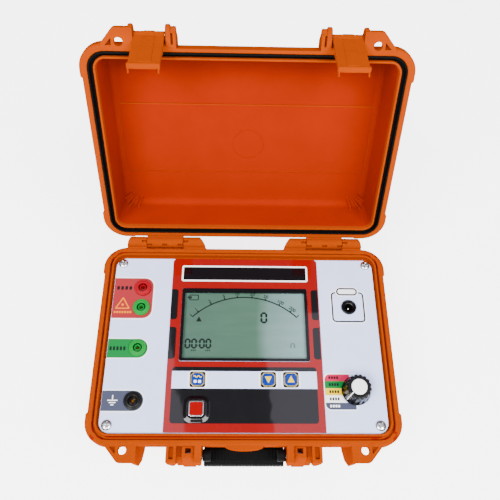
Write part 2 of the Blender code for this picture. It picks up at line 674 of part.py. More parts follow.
def add_charge_socket(plastic, metal):
    """Round charging socket with a centre pin, and its nut."""
    low = PANEL_Z[1] + GAP
    top = CHARGE_TOP_Z
    body = [(5.5, 66.0), (5.5, low), (7.4, low), (7.4, top - 0.6), (6.8, top), (3.7, top),
            (3.7, 70.0), (1.3, 70.0), (1.3, 66.0)]
    add_object("charge_socket", turned(body, CHARGE_PLACE), plastic)
    pin = [(0.0, 62.0), (1.0, 62.0), (1.0, 82.4), (0.6, 83.0), (0.0, 83.0)]
    add_object("charge_pin", turned(pin, CHARGE_PLACE, 12), metal)
    add_nut("charge_nut", CHARGE_PLACE, 8.4, 5.8, 80.0, PANEL_Z[0] - GAP, metal)


def fluted_ring(radius, depth, height):
    """Ring round the selector with shallow finger flutes."""
    points = []
    count = KNOB_FLUTES * 3
    for step in range(count):
        angle = 2 * math.pi * step / count
        here = radius - depth * (0.5 - 0.5 * math.cos(KNOB_FLUTES * angle))
        points.append((SELECTOR_PLACE[0] + here * math.cos(angle),
                       SELECTOR_PLACE[1] + here * math.sin(angle), height))
    return points


def add_selector(plastic, cap_finish, metal, dark):
    """Rotary switch behind the panel, its nut, and the shaft, knob and cap that turn."""
    place = SELECTOR_PLACE
    pivot = add_pivot("selector_axis", (*place, KNOB_Z[0]))
    under = PANEL_Z[0] - GAP
    switch = [(3.4, 62.0), (13.0, 62.0), (13.0, under), (4.6, under), (4.6, 89.0), (3.4, 89.0)]
    add_object("rotary_switch", turned(switch, place), dark)
    add_nut("selector_nut", place, 7.2, 4.9, PANEL_Z[1] + GAP, 88.2, metal)
    low, high = KNOB_Z
    rings = [fluted_ring(KNOB_RADIUS, 0.0, low), fluted_ring(KNOB_RADIUS, 0.0, low + 2.2),
             fluted_ring(KNOB_RADIUS - 0.6, 0.9, low + 3.0),
             fluted_ring(KNOB_RADIUS - 1.8, 0.8, high - 1.2),
             fluted_ring(KNOB_RADIUS - 3.0, 0.5, high)]
    knob = cut(loft(rings), cylinder(place, 9.2, low - 1.0, 90.0),
               cylinder(place, 3.2, 89.0, 99.5, steps=16),
               cylinder(place, CAP_RADIUS + GAP, high - 1.2, high + 1.0))
    shaft = cylinder(place, 2.9, 58.0, 99.2, steps=16)
    cap = turned([(0.0, high - 0.9), (CAP_RADIUS, high - 0.9), (CAP_RADIUS, high + 0.6),
                  (CAP_RADIUS - 1.0, high + 1.2), (0.0, high + 1.2)], place)
    for name, shape, finish in (("selector_knob", knob, plastic), ("selector_cap", cap, cap_finish),
                                ("selector_shaft", shaft, metal)):
        bmesh.ops.translate(shape, verts=shape.verts, vec=(-place[0], -place[1], -KNOB_Z[0]))
        add_object(name, shape, finish, pivot)


def add_panel_screws(metal):
    """Four pan-head screws that hold the panel down on the corner bosses."""
    for number, place in enumerate(PANEL_SCREWS, 1):
        low = PANEL_Z[1] + GAP
        profile = [(0.0, 66.0), (1.6, 66.0), (1.6, low), (SCREW_HEAD, low),
                   (SCREW_HEAD, low + 0.8), (3.2, low + 2.0), (0.0, low + 2.2)]
        add_object(f"panel_screw_{number}", turned(profile, place, 16), metal)


def add_inside(board, metal, dark, grey):
    """Circuit board on standoffs, high-voltage module, battery pack and its strap."""
    shape = prism(rounded_rectangle(*BOARD_X, *BOARD_Y, 3.0, 2), *BOARD_Z)
    holes = [cylinder(place, 1.7, 60.0, 70.0, steps=12) for place in STANDOFFS]
    add_object("main_board", cut(shape, *holes), board)
    for number, place in enumerate(STANDOFFS, 1):
        profile = [(0.0, 62.5), (3.0, 62.5), (3.0, 65.7), (1.4, 65.7), (1.4, 67.9),
                   (3.0, 67.9), (3.0, PANEL_Z[0] - GAP), (0.0, PANEL_Z[0] - GAP)]
        add_object(f"standoff_{number}", turned(profile, place, 12), metal)
    x_low, x_high, y_low, y_high, z_low, z_high = BATTERY_BOX
    pack = prism(rounded_rectangle(x_low, x_high, y_low, y_high, 8.0, 3), z_low, z_high)
    add_object("battery_pack", pack, dark)
    thick = 1.6
    y_in, y_out = y_low - GAP, y_low - GAP - thick
    back_in, back_out = y_high + GAP, y_high + GAP + thick
    top = z_high + GAP
    strap = [(y_out - 9.0, z_low), (y_in, z_low), (y_in, top), (back_in, top), (back_in, z_low),
             (back_out + 9.0, z_low), (back_out + 9.0, z_low + thick),
             (back_out, z_low + thick), (back_out, top + thick), (y_out, top + thick),
             (y_out, z_low + thick), (y_out - 9.0, z_low + thick)]
    add_object("battery_strap", prism(strap, *STRAP_X, "x"), metal)
    x_low, x_high, y_low, y_high, z_low, z_high = HV_BOX
    add_object("high_voltage_module",
               prism(rounded_rectangle(x_low, x_high, y_low, y_high, 3.0, 2), z_low, z_high), grey)


def main():
    """Build the whole instrument."""
    for old in list(bpy.data.objects):
        bpy.data.objects.remove(old)
    orange = material("orange_plastic", (1.0, 0.17, 0.003), 0.38)
    black = material("black_plastic", (0.012, 0.012, 0.013), 0.42)
    rubber = material("black_rubber", (0.015, 0.015, 0.016), 0.7)
    lilac = material("panel_film", (0.62, 0.64, 0.82), 0.35)
    red_film = material("red_film", (0.9, 0.004, 0.004), 0.3)
    colours = {"red": material("red_plastic", (0.75, 0.01, 0.01), 0.35),
               "green": material("green_plastic", (0.02, 0.62, 0.12), 0.35),
               "black": black}
    blue = material("blue_plastic", (0.02, 0.12, 0.55), 0.35)
    glass = material("clear_window", (0.8, 0.85, 0.85), 0.08)
    lcd = material("liquid_crystal", (0.3, 0.4, 0.36), 0.3)
    light = material("light_guide", (0.8, 0.8, 0.78), 0.5)
    steel = material("steel", (0.6, 0.6, 0.62), 0.3, 1.0)
    brass = material("brass", (0.75, 0.52, 0.2), 0.3, 1.0)
    silver = material("satin_cap", (0.8, 0.8, 0.82), 0.3, 0.8)
    board = material("board", (0.02, 0.2, 0.08), 0.5)
    grey = material("grey_plastic", (0.2, 0.2, 0.22), 0.5)

    add_base_shell(orange)
    lid_pivot = add_pivot("lid_hinge_line", (0.0, HINGE_Y, HINGE_Z), -LID_OPEN_DEG)
    add_lid_shell(orange, lid_pivot)
    add_lid_seal(rubber, lid_pivot)
    add_catch("catch_left", -1, orange, steel, lid_pivot)
    add_catch("catch_right", 1, orange, steel, lid_pivot)
    add_hinge_pins(steel)
    add_handle(black, rubber, steel)
    add_front_panel(lilac)
    add_overlay(red_film)
    add_display(glass, lcd, light)
    add_keys(blue, colours["red"], black, black)
    for name, y, colour in SOCKETS:
        add_socket(name, y, colours[colour], brass, steel)
    add_charge_socket(black, steel)
    add_selector(black, silver, steel, black)
    add_panel_screws(steel)
    add_inside(board, brass, black, grey)


main()
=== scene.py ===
import json
import math

import bmesh
import bpy
from mathutils import Matrix, Vector


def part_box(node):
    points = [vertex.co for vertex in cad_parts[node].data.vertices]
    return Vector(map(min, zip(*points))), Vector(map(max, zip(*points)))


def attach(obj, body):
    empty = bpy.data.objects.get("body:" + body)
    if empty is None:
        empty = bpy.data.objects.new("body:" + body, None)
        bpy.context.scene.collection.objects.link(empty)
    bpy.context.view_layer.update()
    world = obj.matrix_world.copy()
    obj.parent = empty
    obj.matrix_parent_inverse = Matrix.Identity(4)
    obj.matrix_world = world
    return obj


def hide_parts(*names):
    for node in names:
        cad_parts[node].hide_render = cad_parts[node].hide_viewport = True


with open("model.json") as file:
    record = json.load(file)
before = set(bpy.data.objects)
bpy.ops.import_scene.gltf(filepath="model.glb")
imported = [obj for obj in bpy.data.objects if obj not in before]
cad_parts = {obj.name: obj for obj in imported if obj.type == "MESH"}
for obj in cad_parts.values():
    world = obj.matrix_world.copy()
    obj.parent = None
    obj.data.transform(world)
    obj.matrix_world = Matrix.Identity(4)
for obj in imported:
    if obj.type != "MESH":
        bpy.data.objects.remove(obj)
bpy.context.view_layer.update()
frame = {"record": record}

# Sizes are in millimetres, and make_piece turns them into metres. Lid pieces are drawn as
# they lie when the lid is shut, and turned about the hinge line to the open position.
MM = 0.001
JOINTS = {joint["name"]: joint for joint in frame["record"]["behaviour"]["joints"]}


def extent(node):
    """A CAD node's box in millimetres: x low, x high, y low, y high, z low, z high."""
    low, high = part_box(node)
    return [value / MM for pair in zip(low, high) for value in pair]


# ---------------------------------------------------------------- driving places
HINGE_Y = JOINTS["lid_hinge"]["pos_m"][1] / MM
HINGE_Z = JOINTS["lid_hinge"]["pos_m"][2] / MM
LID_OPEN = math.radians(JOINTS["lid_hinge"]["range_deg"][1])
PANEL = extent("front_panel")
OVERLAY = extent("centre_overlay")
WINDOW = extent("display_window")
PANEL_TOP = PANEL[5]
OVERLAY_TOP = OVERLAY[5]

CASE_WIDTH = 280.0
CASE_DEPTH = 193.0
FRONT = -CASE_DEPTH / 2
REAR = CASE_DEPTH / 2
RIM_Z = HINGE_Z
LID_TOP_Z = 130.0
LID_GAP = 0.3
CORNER_RADIUS = 21.0
CORNER_STEPS = 12
WALL = 3.2
FLANGE_INSET = 5.4
FLANGE_UNDERSIDE_Z = 76.5
TONGUE = (7.5, 9.8)
TONGUE_Z = 89.2
LEDGE_Z = 83.0
GROOVE_Z = 83.2
LEDGE_INSET = 16.0
LID_LIP = (10.2, 12.0)
SEAL_Z = (89.6, 91.2)
SEAL_SHOULDER = (7.2, 85.7)


# ---------------------------------------------------------------- shape tools
def rounded(points, closed=False, steps=3):
    """Round a line of points, each given as coordinates and then its own easing radius."""
    result = []
    count = len(points)
    for index, (*place, radius) in enumerate(points):
        here = Vector(place)
        if radius <= 0 or (not closed and index in (0, count - 1)):
            result.append(here)
            continue
        before = Vector(points[index - 1][:-1])
        after = Vector(points[(index + 1) % count][:-1])
        start = here + (before - here).normalized() * min(radius, (before - here).length * 0.48)
        end = here + (after - here).normalized() * min(radius, (after - here).length * 0.48)
        for step in range(steps + 1):
            t = step / steps
            result.append(start.lerp(here, t).lerp(here.lerp(end, t), t))
    return result


def loft(rings, closed=False):
    """Join rings of equal length into a solid, with end caps unless it closes on itself."""
    shape = bmesh.new()
    loops = [[shape.verts.new(point) for point in ring] for ring in rings]
    pairs = list(zip(loops, loops[1:]))
    if closed:
        pairs.append((loops[-1], loops[0]))
    else:
        shape.faces.new(loops[0])
        shape.faces.new(list(reversed(loops[-1])))
    count = len(loops[0])
    for low, high in pairs:
        for index in range(count):
            after = (index + 1) % count
            shape.faces.new((low[index], low[after], high[after], high[index]))
    bmesh.ops.recalc_face_normals(shape, faces=shape.faces)
    return shape


def prism(points, low, high, axis="z", edge=0.0, segments=2):
    """Extrude an outline, (x, y) along z, (y, z) along x or (x, z) along y, and ease its edges."""
    order = {"z": lambda a, b, c: (a, b, c), "x": lambda a, b, c: (c, a, b),
             "y": lambda a, b, c: (a, c, b)}[axis]
    shape = loft([[order(*point[:2], level) for point in points] for level in (low, high)])
    return eased(shape, edge, segments) if edge > 0 else shape


def eased(shape, width, segments=2, sharp_deg=32):
    """Bevel a shape's sharp edges."""
    sharp = [edge for edge in shape.edges
             if len(edge.link_faces) == 2 and edge.calc_face_angle() > math.radians(sharp_deg)]
    bmesh.ops.bevel(shape, geom=sharp, offset=width, segments=segments, profile=0.5,
                    affect="EDGES", clamp_overlap=True)
    return shape


def arc(centre_a, centre_b, radius, start_deg, end_deg, steps):
    """Points along an arc, ends included."""
    points = []
    for step in range(steps + 1):
        angle = math.radians(start_deg + (end_deg - start_deg) * step / steps)
        points.append((centre_a + radius * math.cos(angle),
                       centre_b + radius * math.sin(angle)))
    return points


def circle(centre_a, centre_b, radius, steps=48):
    """Points round a circle."""
    return arc(centre_a, centre_b, radius, 0, 360 - 360 / steps, steps - 1)


def cylinder(centre, radius, low, high, axis="z", steps=48, edge=0.0):
    """Make a round bar."""
    return prism(circle(*centre, radius, steps), low, high, axis, edge)


def rectangle(x_low, x_high, y_low, y_high, radius=0.0, steps=6):
    """Outline with four corners of one radius, or of four: rear right, rear left, and so on."""
    radii = radius if isinstance(radius, tuple) else (radius,) * 4
    points = []
    corners = ((x_high, y_high), (x_low, y_high), (x_low, y_low), (x_high, y_low))
    for quarter, ((x, y), size) in enumerate(zip(corners, radii)):
        if size <= 0:
            points.append((x, y))
            continue
        centre_x = x - math.copysign(size, x - (x_low + x_high) / 2)
        centre_y = y - math.copysign(size, y - (y_low + y_high) / 2)
        points += arc(centre_x, centre_y, size, 90 * quarter, 90 * quarter + 90, steps)
    return points


def grown(box, by):
    """A box of x low, x high, y low and y high, larger on every side."""
    return [value + side * by for value, side in zip(box, (-1, 1, -1, 1))]


def around(x, y, half_x, half_y=None):
    """The box round a point."""
    half_y = half_x if half_y is None else half_y
    return x - half_x, x + half_x, y - half_y, y + half_y


def softened(*points):
    """Corners of a turned profile, each eased by the radius that comes last."""
    return [tuple(point) for point in rounded(points)]


def turned(profile, centre=(0.0, 0.0), steps=64):
    """Revolve a closed outline of (radius, z) about a vertical axis."""
    shape = bmesh.new()
    rings = []
    for radius, height in profile:
        if radius < 1e-6:
            rings.append([shape.verts.new((centre[0], centre[1], height))])
        else:
            rings.append([shape.verts.new((x, y, height))
                          for x, y in circle(*centre, radius, steps)])
    for low, high in zip(rings, rings[1:] + rings[:1]):
        for index in range(steps):
            after = (index + 1) % steps
            corners = [low[index % len(low)], low[after % len(low)],
                       high[after % len(high)], high[index % len(high)]]
            unique = list(dict.fromkeys(corners))
            if len(unique) > 2:
                shape.faces.new(unique)
    bmesh.ops.recalc_face_normals(shape, faces=shape.faces)
    return shape


def mirrored(shape):
    """Return a copy on the other side of the case's middle plane."""
    copy = shape.copy()
    bmesh.ops.transform(copy, matrix=Matrix.Scale(-1, 4, (1, 0, 0)), verts=copy.verts)
    bmesh.ops.reverse_faces(copy, faces=copy.faces)
    return copy


def both_sides(*shapes):
    """Return each shape with its mirror image."""
    return [side for shape in shapes for side in (shape, mirrored(shape))]


def merged(*shapes):
    """Put several shapes into one mesh, each still a body of its own."""
    result = bmesh.new()
    scratch = bpy.data.meshes.new("scratch")
    for shape in shapes:
        shape.to_mesh(scratch)
        shape.free()
        result.from_mesh(scratch)
    bpy.data.meshes.remove(scratch)
    return result


def combined(shape, tools, operation):
    """Return the closed mesh left after a Boolean with each tool in turn."""
    scratch = []
    for part in (shape, *tools):
        mesh = bpy.data.meshes.new("scratch")
        part.to_mesh(mesh)
        part.free()
        helper = bpy.data.objects.new("scratch", mesh)
        bpy.context.scene.collection.objects.link(helper)
        scratch.append(helper)
    for helper in scratch[1:]:
        step = scratch[0].modifiers.new("step", "BOOLEAN")
        step.operation = operation
        step.solver = "EXACT"
        step.object = helper
    bpy.context.view_layer.update()
    result = bmesh.new()
    result.from_object(scratch[0], bpy.context.evaluated_depsgraph_get())
    for helper in scratch:
        data = helper.data
        bpy.data.objects.remove(helper)
        bpy.data.meshes.remove(data)
    bmesh.ops.remove_doubles(result, verts=result.verts, dist=1e-3)
    bmesh.ops.dissolve_limit(result, angle_limit=math.radians(0.2),
                             verts=result.verts, edges=result.edges)
    return result


def joined(shape, *tools):
    """Boolean union."""
    return combined(shape, tools, "UNION")


def cut(shape, *tools):
    """Boolean difference."""
    return combined(shape, tools, "DIFFERENCE")


LID_TURN = (Matrix.Translation((0.0, HINGE_Y, HINGE_Z)) @ Matrix.Rotation(-LID_OPEN, 4, "X")
            @ Matrix.Translation((0.0, -HINGE_Y, -HINGE_Z)))


def make_piece(name, shape, finish, body, nodes=(), turn=None, sharp_deg=32):
    """Turn a mesh in millimetres into a shown piece that rides on a body."""
    if turn is not None:
        bmesh.ops.transform(shape, matrix=turn, verts=shape.verts)
    bmesh.ops.scale(shape, verts=shape.verts, vec=(MM, MM, MM))
    bmesh.ops.recalc_face_normals(shape, faces=shape.faces)
    mesh = bpy.data.meshes.new(name)
    shape.to_mesh(mesh)
    shape.free()
    mesh.materials.append(finish)
    mesh.shade_smooth()
    mesh.set_sharp_from_angle(angle=math.radians(sharp_deg))
    made = bpy.data.objects.new(name, mesh)
    bpy.context.scene.collection.objects.link(made)
    weighted = made.modifiers.new("normals", "WEIGHTED_NORMAL")
    weighted.keep_sharp = True
    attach(made, body)
    if nodes:
        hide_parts(*nodes)
    return made


# ---------------------------------------------------------------- materials
class Nodes:
    """A Principled material with short calls for its texture nodes."""

    def __init__(self, name, colour, roughness, metallic=0.0, **settings):
        self.material = bpy.data.materials.new(name)
        self.material.use_nodes = True
        self.tree = self.material.node_tree
        self.shader = self.tree.nodes["Principled BSDF"]
        self.set(self.shader, Base_Color=(*colour, 1.0), Roughness=roughness, Metallic=metallic,
                 **settings)
        self.place = self.add("TexCoord").outputs["Object"]

    def set(self, node, **inputs):
        """Give a node's inputs their values, or link another node's output to them."""
        for key, value in inputs.items():
            target = node.inputs[key.replace("_", " ")]
            if isinstance(value, bpy.types.NodeSocket):
                self.tree.links.new(value, target)
            else:
                target.default_value = value

    def add(self, kind, **inputs):
        """Add a shader node."""
        node = self.tree.nodes.new("ShaderNode" + kind)
        self.set(node, **inputs)
        return node

    def drive(self, **outputs):
        """Drive inputs of the main shader."""
        self.set(self.shader, **outputs)

    def noise(self, scale, detail=3.0, roughness=0.5, stretch=None):
        """Noise in object space, scale in features per metre."""
        place = self.place
        if stretch:
            place = self.add("Mapping", Vector=place, Scale=stretch).outputs["Vector"]
        return self.add("TexNoise", Vector=place, Scale=scale, Detail=detail,
                        Roughness=roughness).outputs["Fac"]

    def remap(self, value, low, high, to_low, to_high):
        """Map a value's range on to another."""
        return self.add("MapRange", Value=value, From_Min=low, From_Max=high, To_Min=to_low,
                        To_Max=to_high).outputs["Result"]

    def ramp(self, value, *stops):
        """Colour ramp through (position, colour) stops."""
        node = self.add("ValToRGB", Fac=value)
        elements = node.color_ramp.elements
        while len(elements) < len(stops):
            elements.new(0.5)
        for element, (position, colour) in zip(elements, stops):
            element.position = position
            element.color = (*colour, 1.0)
        return node.outputs["Color"]

    def bump(self, value, strength, distance, **after):
        """Add a bump, distance in millimetres, over one given as Normal."""
        return self.add("Bump", Height=value, Strength=strength, Distance=distance * MM,
                        **after).outputs["Normal"]


def scaled(colour, factor):
    """A lighter or darker shade."""
    return tuple(min(value * factor, 1.0) for value in colour)


def clouded(nodes, colour, mottle, *texture, low=0.3):
    """Vary a colour a little over the surface."""
    nodes.drive(Base_Color=nodes.ramp(nodes.noise(*texture), (low, scaled(colour, 1 - mottle)),
                                      (1 - low, scaled(colour, 1 + mottle))))


def moulded(name, colour, roughness, mottle=0.05, grain=0.25, **settings):
    """Moulded plastic: slight cloudiness, uneven gloss and a fine spark-eroded grain."""
    nodes = Nodes(name, colour, roughness, **settings)
    clouded(nodes, colour, mottle, 28.0, 4.0, 0.55)
    gloss = nodes.remap(nodes.noise(140.0, 5.0, 0.6), 0.3, 0.7, roughness - 0.05, roughness + 0.06)
    waves = nodes.bump(nodes.noise(55.0, 2.0), 0.25, 0.12)
    nodes.drive(Roughness=gloss,
                Normal=nodes.bump(nodes.noise(1600.0, 2.0), grain, 0.02, Normal=waves))
    return nodes.material


def printed(name, colour, roughness=0.3, **settings):
    """Printed film: flat ink under a clear film that lies slightly wavy."""
    settings.setdefault("Specular_IOR_Level", 0.06)
    nodes = Nodes(name, colour, roughness, **settings)
    clouded(nodes, colour, 0.03, 40.0, 3.0, low=0.35)
    gloss = nodes.remap(nodes.noise(90.0, 4.0, 0.6), 0.3, 0.7, roughness - 0.06, roughness + 0.06)
    nodes.drive(Roughness=gloss, Normal=nodes.bump(nodes.noise(1400.0, 2.0), 0.05, 0.01),
                Coat_Normal=nodes.bump(nodes.noise(26.0, 2.0), 0.35, 0.5))
    return nodes.material


def metal(name, colour, roughness):
    """Bare metal with fine brushing."""
    nodes = Nodes(name, colour, roughness, 1.0)
    lines = nodes.noise(900.0, 3.0, 0.6)
    nodes.drive(Base_Color=nodes.ramp(nodes.noise(120.0, 3.0), (0.3, scaled(colour, 0.9)),
                                      (0.7, scaled(colour, 1.08))),
                Roughness=nodes.remap(lines, 0.3, 0.7, roughness - 0.07, roughness + 0.1),
                Normal=nodes.bump(lines, 0.2, 0.02))
    return nodes.material


def lcd_material():
    """Liquid crystal panel: greenish grey, with a painted reflection of the lights that makes it
    lighter towards the right.
    """
    nodes = Nodes("liquid_crystal", (0.15, 0.24, 0.19), 0.42, Specular_IOR_Level=0.1,
                  Coat_Weight=1.0, Coat_Roughness=0.06)
    split = nodes.add("SeparateXYZ", Vector=nodes.place)
    across = nodes.remap(split.outputs["X"], -0.058, 0.058, 0.0, 1.0)
    cloud = nodes.remap(nodes.noise(14.0, 3.0), 0.3, 0.7, -0.05, 0.05)
    mixed = nodes.add("Math")
    mixed.operation = "ADD"
    for number, value in enumerate((across, cloud)):
        nodes.tree.links.new(value, mixed.inputs[number])
    # Past 0.58 the ramp lightens towards the right: a painted reflection of the lights, not the
    # crystal's own colour.
    shade = nodes.ramp(mixed.outputs["Value"], (0.0, (0.055, 0.105, 0.08)),
                       (0.58, (0.058, 0.112, 0.08)), (0.7, (0.12, 0.185, 0.17)),
                       (1.0, (0.18, 0.26, 0.27)))
    nodes.drive(Base_Color=shade, Normal=nodes.bump(nodes.noise(1800.0, 2.0), 0.1, 0.01))
    return nodes.material


def window_material():
    """Clear pane, which hardly tints what lies under it."""
    nodes = Nodes("clear_window", (0.95, 0.97, 0.96), 0.03)
    streaks = nodes.noise(30.0, 3.0, 0.5, (1.0, 6.0, 1.0))
    clear = nodes.add("BsdfTransparent", Color=nodes.ramp(streaks, (0.3, (0.93, 0.96, 0.95)),
                                                          (0.7, (0.97, 0.99, 0.98))))
    nodes.set(nodes.tree.nodes["Material Output"], Surface=clear.outputs["BSDF"])
    nodes.tree.nodes.remove(nodes.shader)
    return nodes.material


ORANGE = (0.27, 0.033, 0.0)
# Darker, redder orange for the lid's inner walls: painted shade on the same plastic as ORANGE.
SHADED_INSIDE_ORANGE = (0.25, 0.012, 0.0)
NEAR_BLACK = (0.002, 0.002, 0.002)

# Name, colour, roughness, specular level and what else differs from plain moulded plastic.
PLASTICS = {
    "orange": ("orange_plastic", ORANGE, 0.36, 0.0, {}),
    # The groove finish below is the same orange made darker: painted shade in the groove between
    # flange and tongue.
    "orange_groove_painted_shade": ("orange_plastic_groove", (0.2, 0.008, 0.0), 0.4, 0.0, {}),
    # The inside finish below is the orange made darker and redder: painted shade on the lid's
    # inner walls.
    "orange_inside_painted_shade": ("orange_plastic_inside", SHADED_INSIDE_ORANGE, 0.3, 0.0, {}),
    "rubber": ("black_rubber", NEAR_BLACK, 0.6, 0.05, {"grain": 0.5}),
    "matt_black": ("matt_black_plastic", (0.003, 0.0025, 0.0028), 0.6, 0.05, {"mottle": 0.15}),
    "black": ("black_plastic", (0.002, 0.002, 0.0024), 0.3, 0.2, {"mottle": 0.15}),
    "knob": ("knob_plastic", NEAR_BLACK, 0.16, 0.22, {"mottle": 0.15, "grain": 0.08}),
    "red_plastic": ("red_plastic", (0.26, 0.002, 0.008), 0.34, 0.08, {}),
    "test_red": ("test_red", (0.21, 0.0, 0.002), 0.3, 0.03, {}),
    "green_plastic": ("green_plastic", (0.0, 0.2, 0.025), 0.32, 0.08, {}),
    "blue": ("blue_key", (0.0, 0.022, 0.22), 0.26, 0.08,
             {"Coat_Weight": 0.4, "Coat_Roughness": 0.05}),
    "satin": ("satin_cap", (0.97, 0.97, 0.98), 0.3, 0.5, {"mottle": 0.01}),
    "board": ("circuit_board", (0.02, 0.2, 0.08), 0.45, 0.5, {}),
    "grey": ("grey_plastic", (0.2, 0.2, 0.22), 0.5, 0.5, {}),
    "light": ("light_guide", (0.8, 0.8, 0.78), 0.5, 0.5, {}),
}

# Name, colour, roughness, and the clear coat's weight and roughness.
FILMS = {
    "panel": ("panel_film", (0.58, 0.66, 0.97), 0.38, 0.25, 0.12),
    "red_film": ("red_film", (0.21, 0.0, 0.0), 0.3, 1.0, 0.04),
    "red_label": ("red_label", (0.26, 0.0, 0.003), 0.3, 1.0, 0.05),
    "dark_film": ("dark_film", (0.002, 0.002, 0.003), 0.3, 1.0, 0.04),
    "black_film": ("black_film", (0.002, 0.001, 0.002), 0.3, 0.6, 0.04),
}
INKS = {
    "halo": ("pale_halo", (0.86, 0.88, 0.95), 0.34),
    "grey_label": ("grey_label", (0.05, 0.056, 0.09), 0.32),
    "green_label": ("green_label", (0.0, 0.15, 0.03), 0.32),
    "white_ink": ("white_ink", (0.9, 0.9, 0.92), 0.35),
    "yellow_ink": ("yellow_ink", (0.75, 0.5, 0.0), 0.35),
    "pink_ink": ("pink_ink", (0.45, 0.01, 0.06), 0.35),
    "amber_ink": ("amber_ink", (0.7, 0.18, 0.0), 0.35),
    "black_ink": ("black_ink", (0.012, 0.01, 0.012), 0.35),
    "segment": ("segment_ink", (0.010, 0.014, 0.013), 0.5),
    "faint_segment": ("faint_segment_ink", (0.07, 0.1, 0.095), 0.5),
}
METALS = {
    "chrome": ("plated_metal", (0.5, 0.5, 0.51), 0.2),
    "gilt": ("gilt_rim", (0.6, 0.48, 0.2), 0.3),
    "steel": ("bright_steel", (0.66, 0.66, 0.68), 0.26),
    "dark_steel": ("blackened_steel", (0.1, 0.1, 0.11), 0.4),
    "brass": ("turned_brass", (0.78, 0.56, 0.24), 0.28),
}
MAT = {"lcd": lcd_material(), "glass": window_material()}
for key, (*look, specular, more) in PLASTICS.items():
    MAT[key] = moulded(*look, Specular_IOR_Level=specular, **more)
for key, (*look, weight, coat) in FILMS.items():
    MAT[key] = printed(*look, Coat_Weight=weight, Coat_Roughness=coat)
MAT |= {key: printed(*look) for key, look in INKS.items()}
MAT |= {key: metal(*look) for key, look in METALS.items()}


# ---------------------------------------------------------------- case
def case_ring(inset, height, bulge=0.0):
    """One ring of the case's outline, with corners that can stand proud of the sides."""
    half_x = CASE_WIDTH / 2 - inset
    half_y = CASE_DEPTH / 2 - inset
    radius = max(CORNER_RADIUS - inset, 4.0)
    step_x = half_x - radius
    step_y = half_y - radius
    proud_x = 1.5 * bulge
    proud_y = 0.6 * bulge
    corner = [(half_x, step_y - 8.0), (half_x + proud_x * 0.12, step_y - 7.4),
              (half_x + proud_x * 0.88, step_y - 6.6), (half_x + proud_x, step_y - 6.0)]
    for step in range(CORNER_STEPS + 1):
        angle = math.radians(90.0 * step / CORNER_STEPS)
        corner.append((step_x + (radius + proud_x) * math.cos(angle),
                       step_y + (radius + proud_y) * math.sin(angle)))
    corner += [(step_x - 6.0, half_y + proud_y), (step_x - 6.6, half_y + proud_y * 0.88),
               (step_x - 7.4, half_y + proud_y * 0.12), (step_x - 8.0, half_y)]
    backwards = list(reversed(corner))
    ring = corner + [(-x, y) for x, y in backwards]
    ring += [(-x, -y) for x, y in corner] + [(x, -y) for x, y in backwards]
    return [(x, y, height) for x, y in ring]


def case_loft(rows, closed=False, steps=3):
    """Loft the outline through rows of (inset, height, corner bulge, easing radius)."""
    return loft([case_ring(*row) for row in rounded(rows, closed, steps)], closed)


EAR_X = (94.0, 110.0, 121.0)
EAR_REACH = 13.9
EAR_HOLE = (106.0, 3.6, 3.6)
EAR_WALL_X = (94.0, 98.0)
RIB_X = (59.1, 68.2)
RIB_POCKET_X = (61.6, 65.6)
LID_POCKET_X = (61.7, 63.6)
BRACKET_X = (43.4, 54.9)
INNER_RIB_X = (37.2, 43.5)
FLANGE_ROOT = 4.0
WALL_ROOT = 10.8
EAR_BOSS = (FRONT - 10.0, 92.0)
CATCH_PIVOT = (FRONT - 6.8, 92.0)
HANDLE_PIVOT = (JOINTS["handle_fold"]["pos_m"][1] / MM, JOINTS["handle_fold"]["pos_m"][2] / MM)
BARREL_RADIUS = 5.5
PIN_RADIUS = 1.6
LID_KNUCKLE_X = (63.2, 99.6)
BASE_BLOCK_X = (39.4, 120.2)
BASE_BLOCK_TIP_X = (47.0, 116.4)
KNUCKLE_GAP = 0.4


def base_lug(x_low, x_high, keel_low, keel_high):
    """Front lug of the base, which narrows to a keel and runs back into the wall."""
    tip = FRONT - EAR_REACH
    wall = FRONT + WALL_ROOT
    rows = [(x_low, x_high, tip, FRONT + FLANGE_ROOT, RIM_Z - 0.4),
            (x_low, x_high, tip, wall, 73.0),
            (keel_low, keel_high, tip, wall, 60.0), (keel_low, keel_high, FRONT - 7.4, wall, 43.0),
            (keel_low, keel_high, FRONT + 4.0, wall, 31.0)]
    shape = loft([[(right, front, level), (right, back, level), (left, back, level),
                   (left, front, level)] for left, right, front, back, level in rows])
    return eased(shape, 0.55, 2, 10)


def lid_lug(reach=1.0):
    """Side view of a front lug of the lid: a round boss over the catch's pivot."""
    flange = FRONT + FLANGE_ROOT
    wall = FRONT + WALL_ROOT
    radius = EAR_BOSS[1] - RIM_Z - 0.6
    points = [(flange, RIM_Z + 0.6), (EAR_BOSS[0], RIM_Z + 0.6)]
    points += arc(*EAR_BOSS, radius * reach, 270, 90, 16)[1:]
    return points + [(FRONT - 2.0, 104.0), (wall, 104.0), (wall, RIM_Z + 12.0),
                     (flange, RIM_Z + 8.0)]


def ear_plate(low, high):
    """Flat ear on the right-hand side."""
    inner, corner, outer = EAR_X
    outline = rounded([(outer, FRONT + 4.0, 0), (outer, FRONT - 1.0, 1.5),
                       (corner, FRONT - EAR_REACH, 2.2), (inner, FRONT - EAR_REACH, 0.8),
                       (inner, FRONT + 4.0, 0)], True)
    return prism(outline, low, high, edge=0.6)


def ear_cutters(low, high, ledge):
    """Padlock hole and the small moulded pocket beside it."""
    across, forward, radius = EAR_HOLE
    hole = cylinder((across, FRONT - forward), radius, low, high)
    pocket = prism(rounded([(112.0, FRONT - 0.8, 0.4), (117.4, FRONT - 0.8, 0.4),
                            (112.0, FRONT - 6.6, 0.4)], True), ledge[0], ledge[1])
    return [hole, pocket]


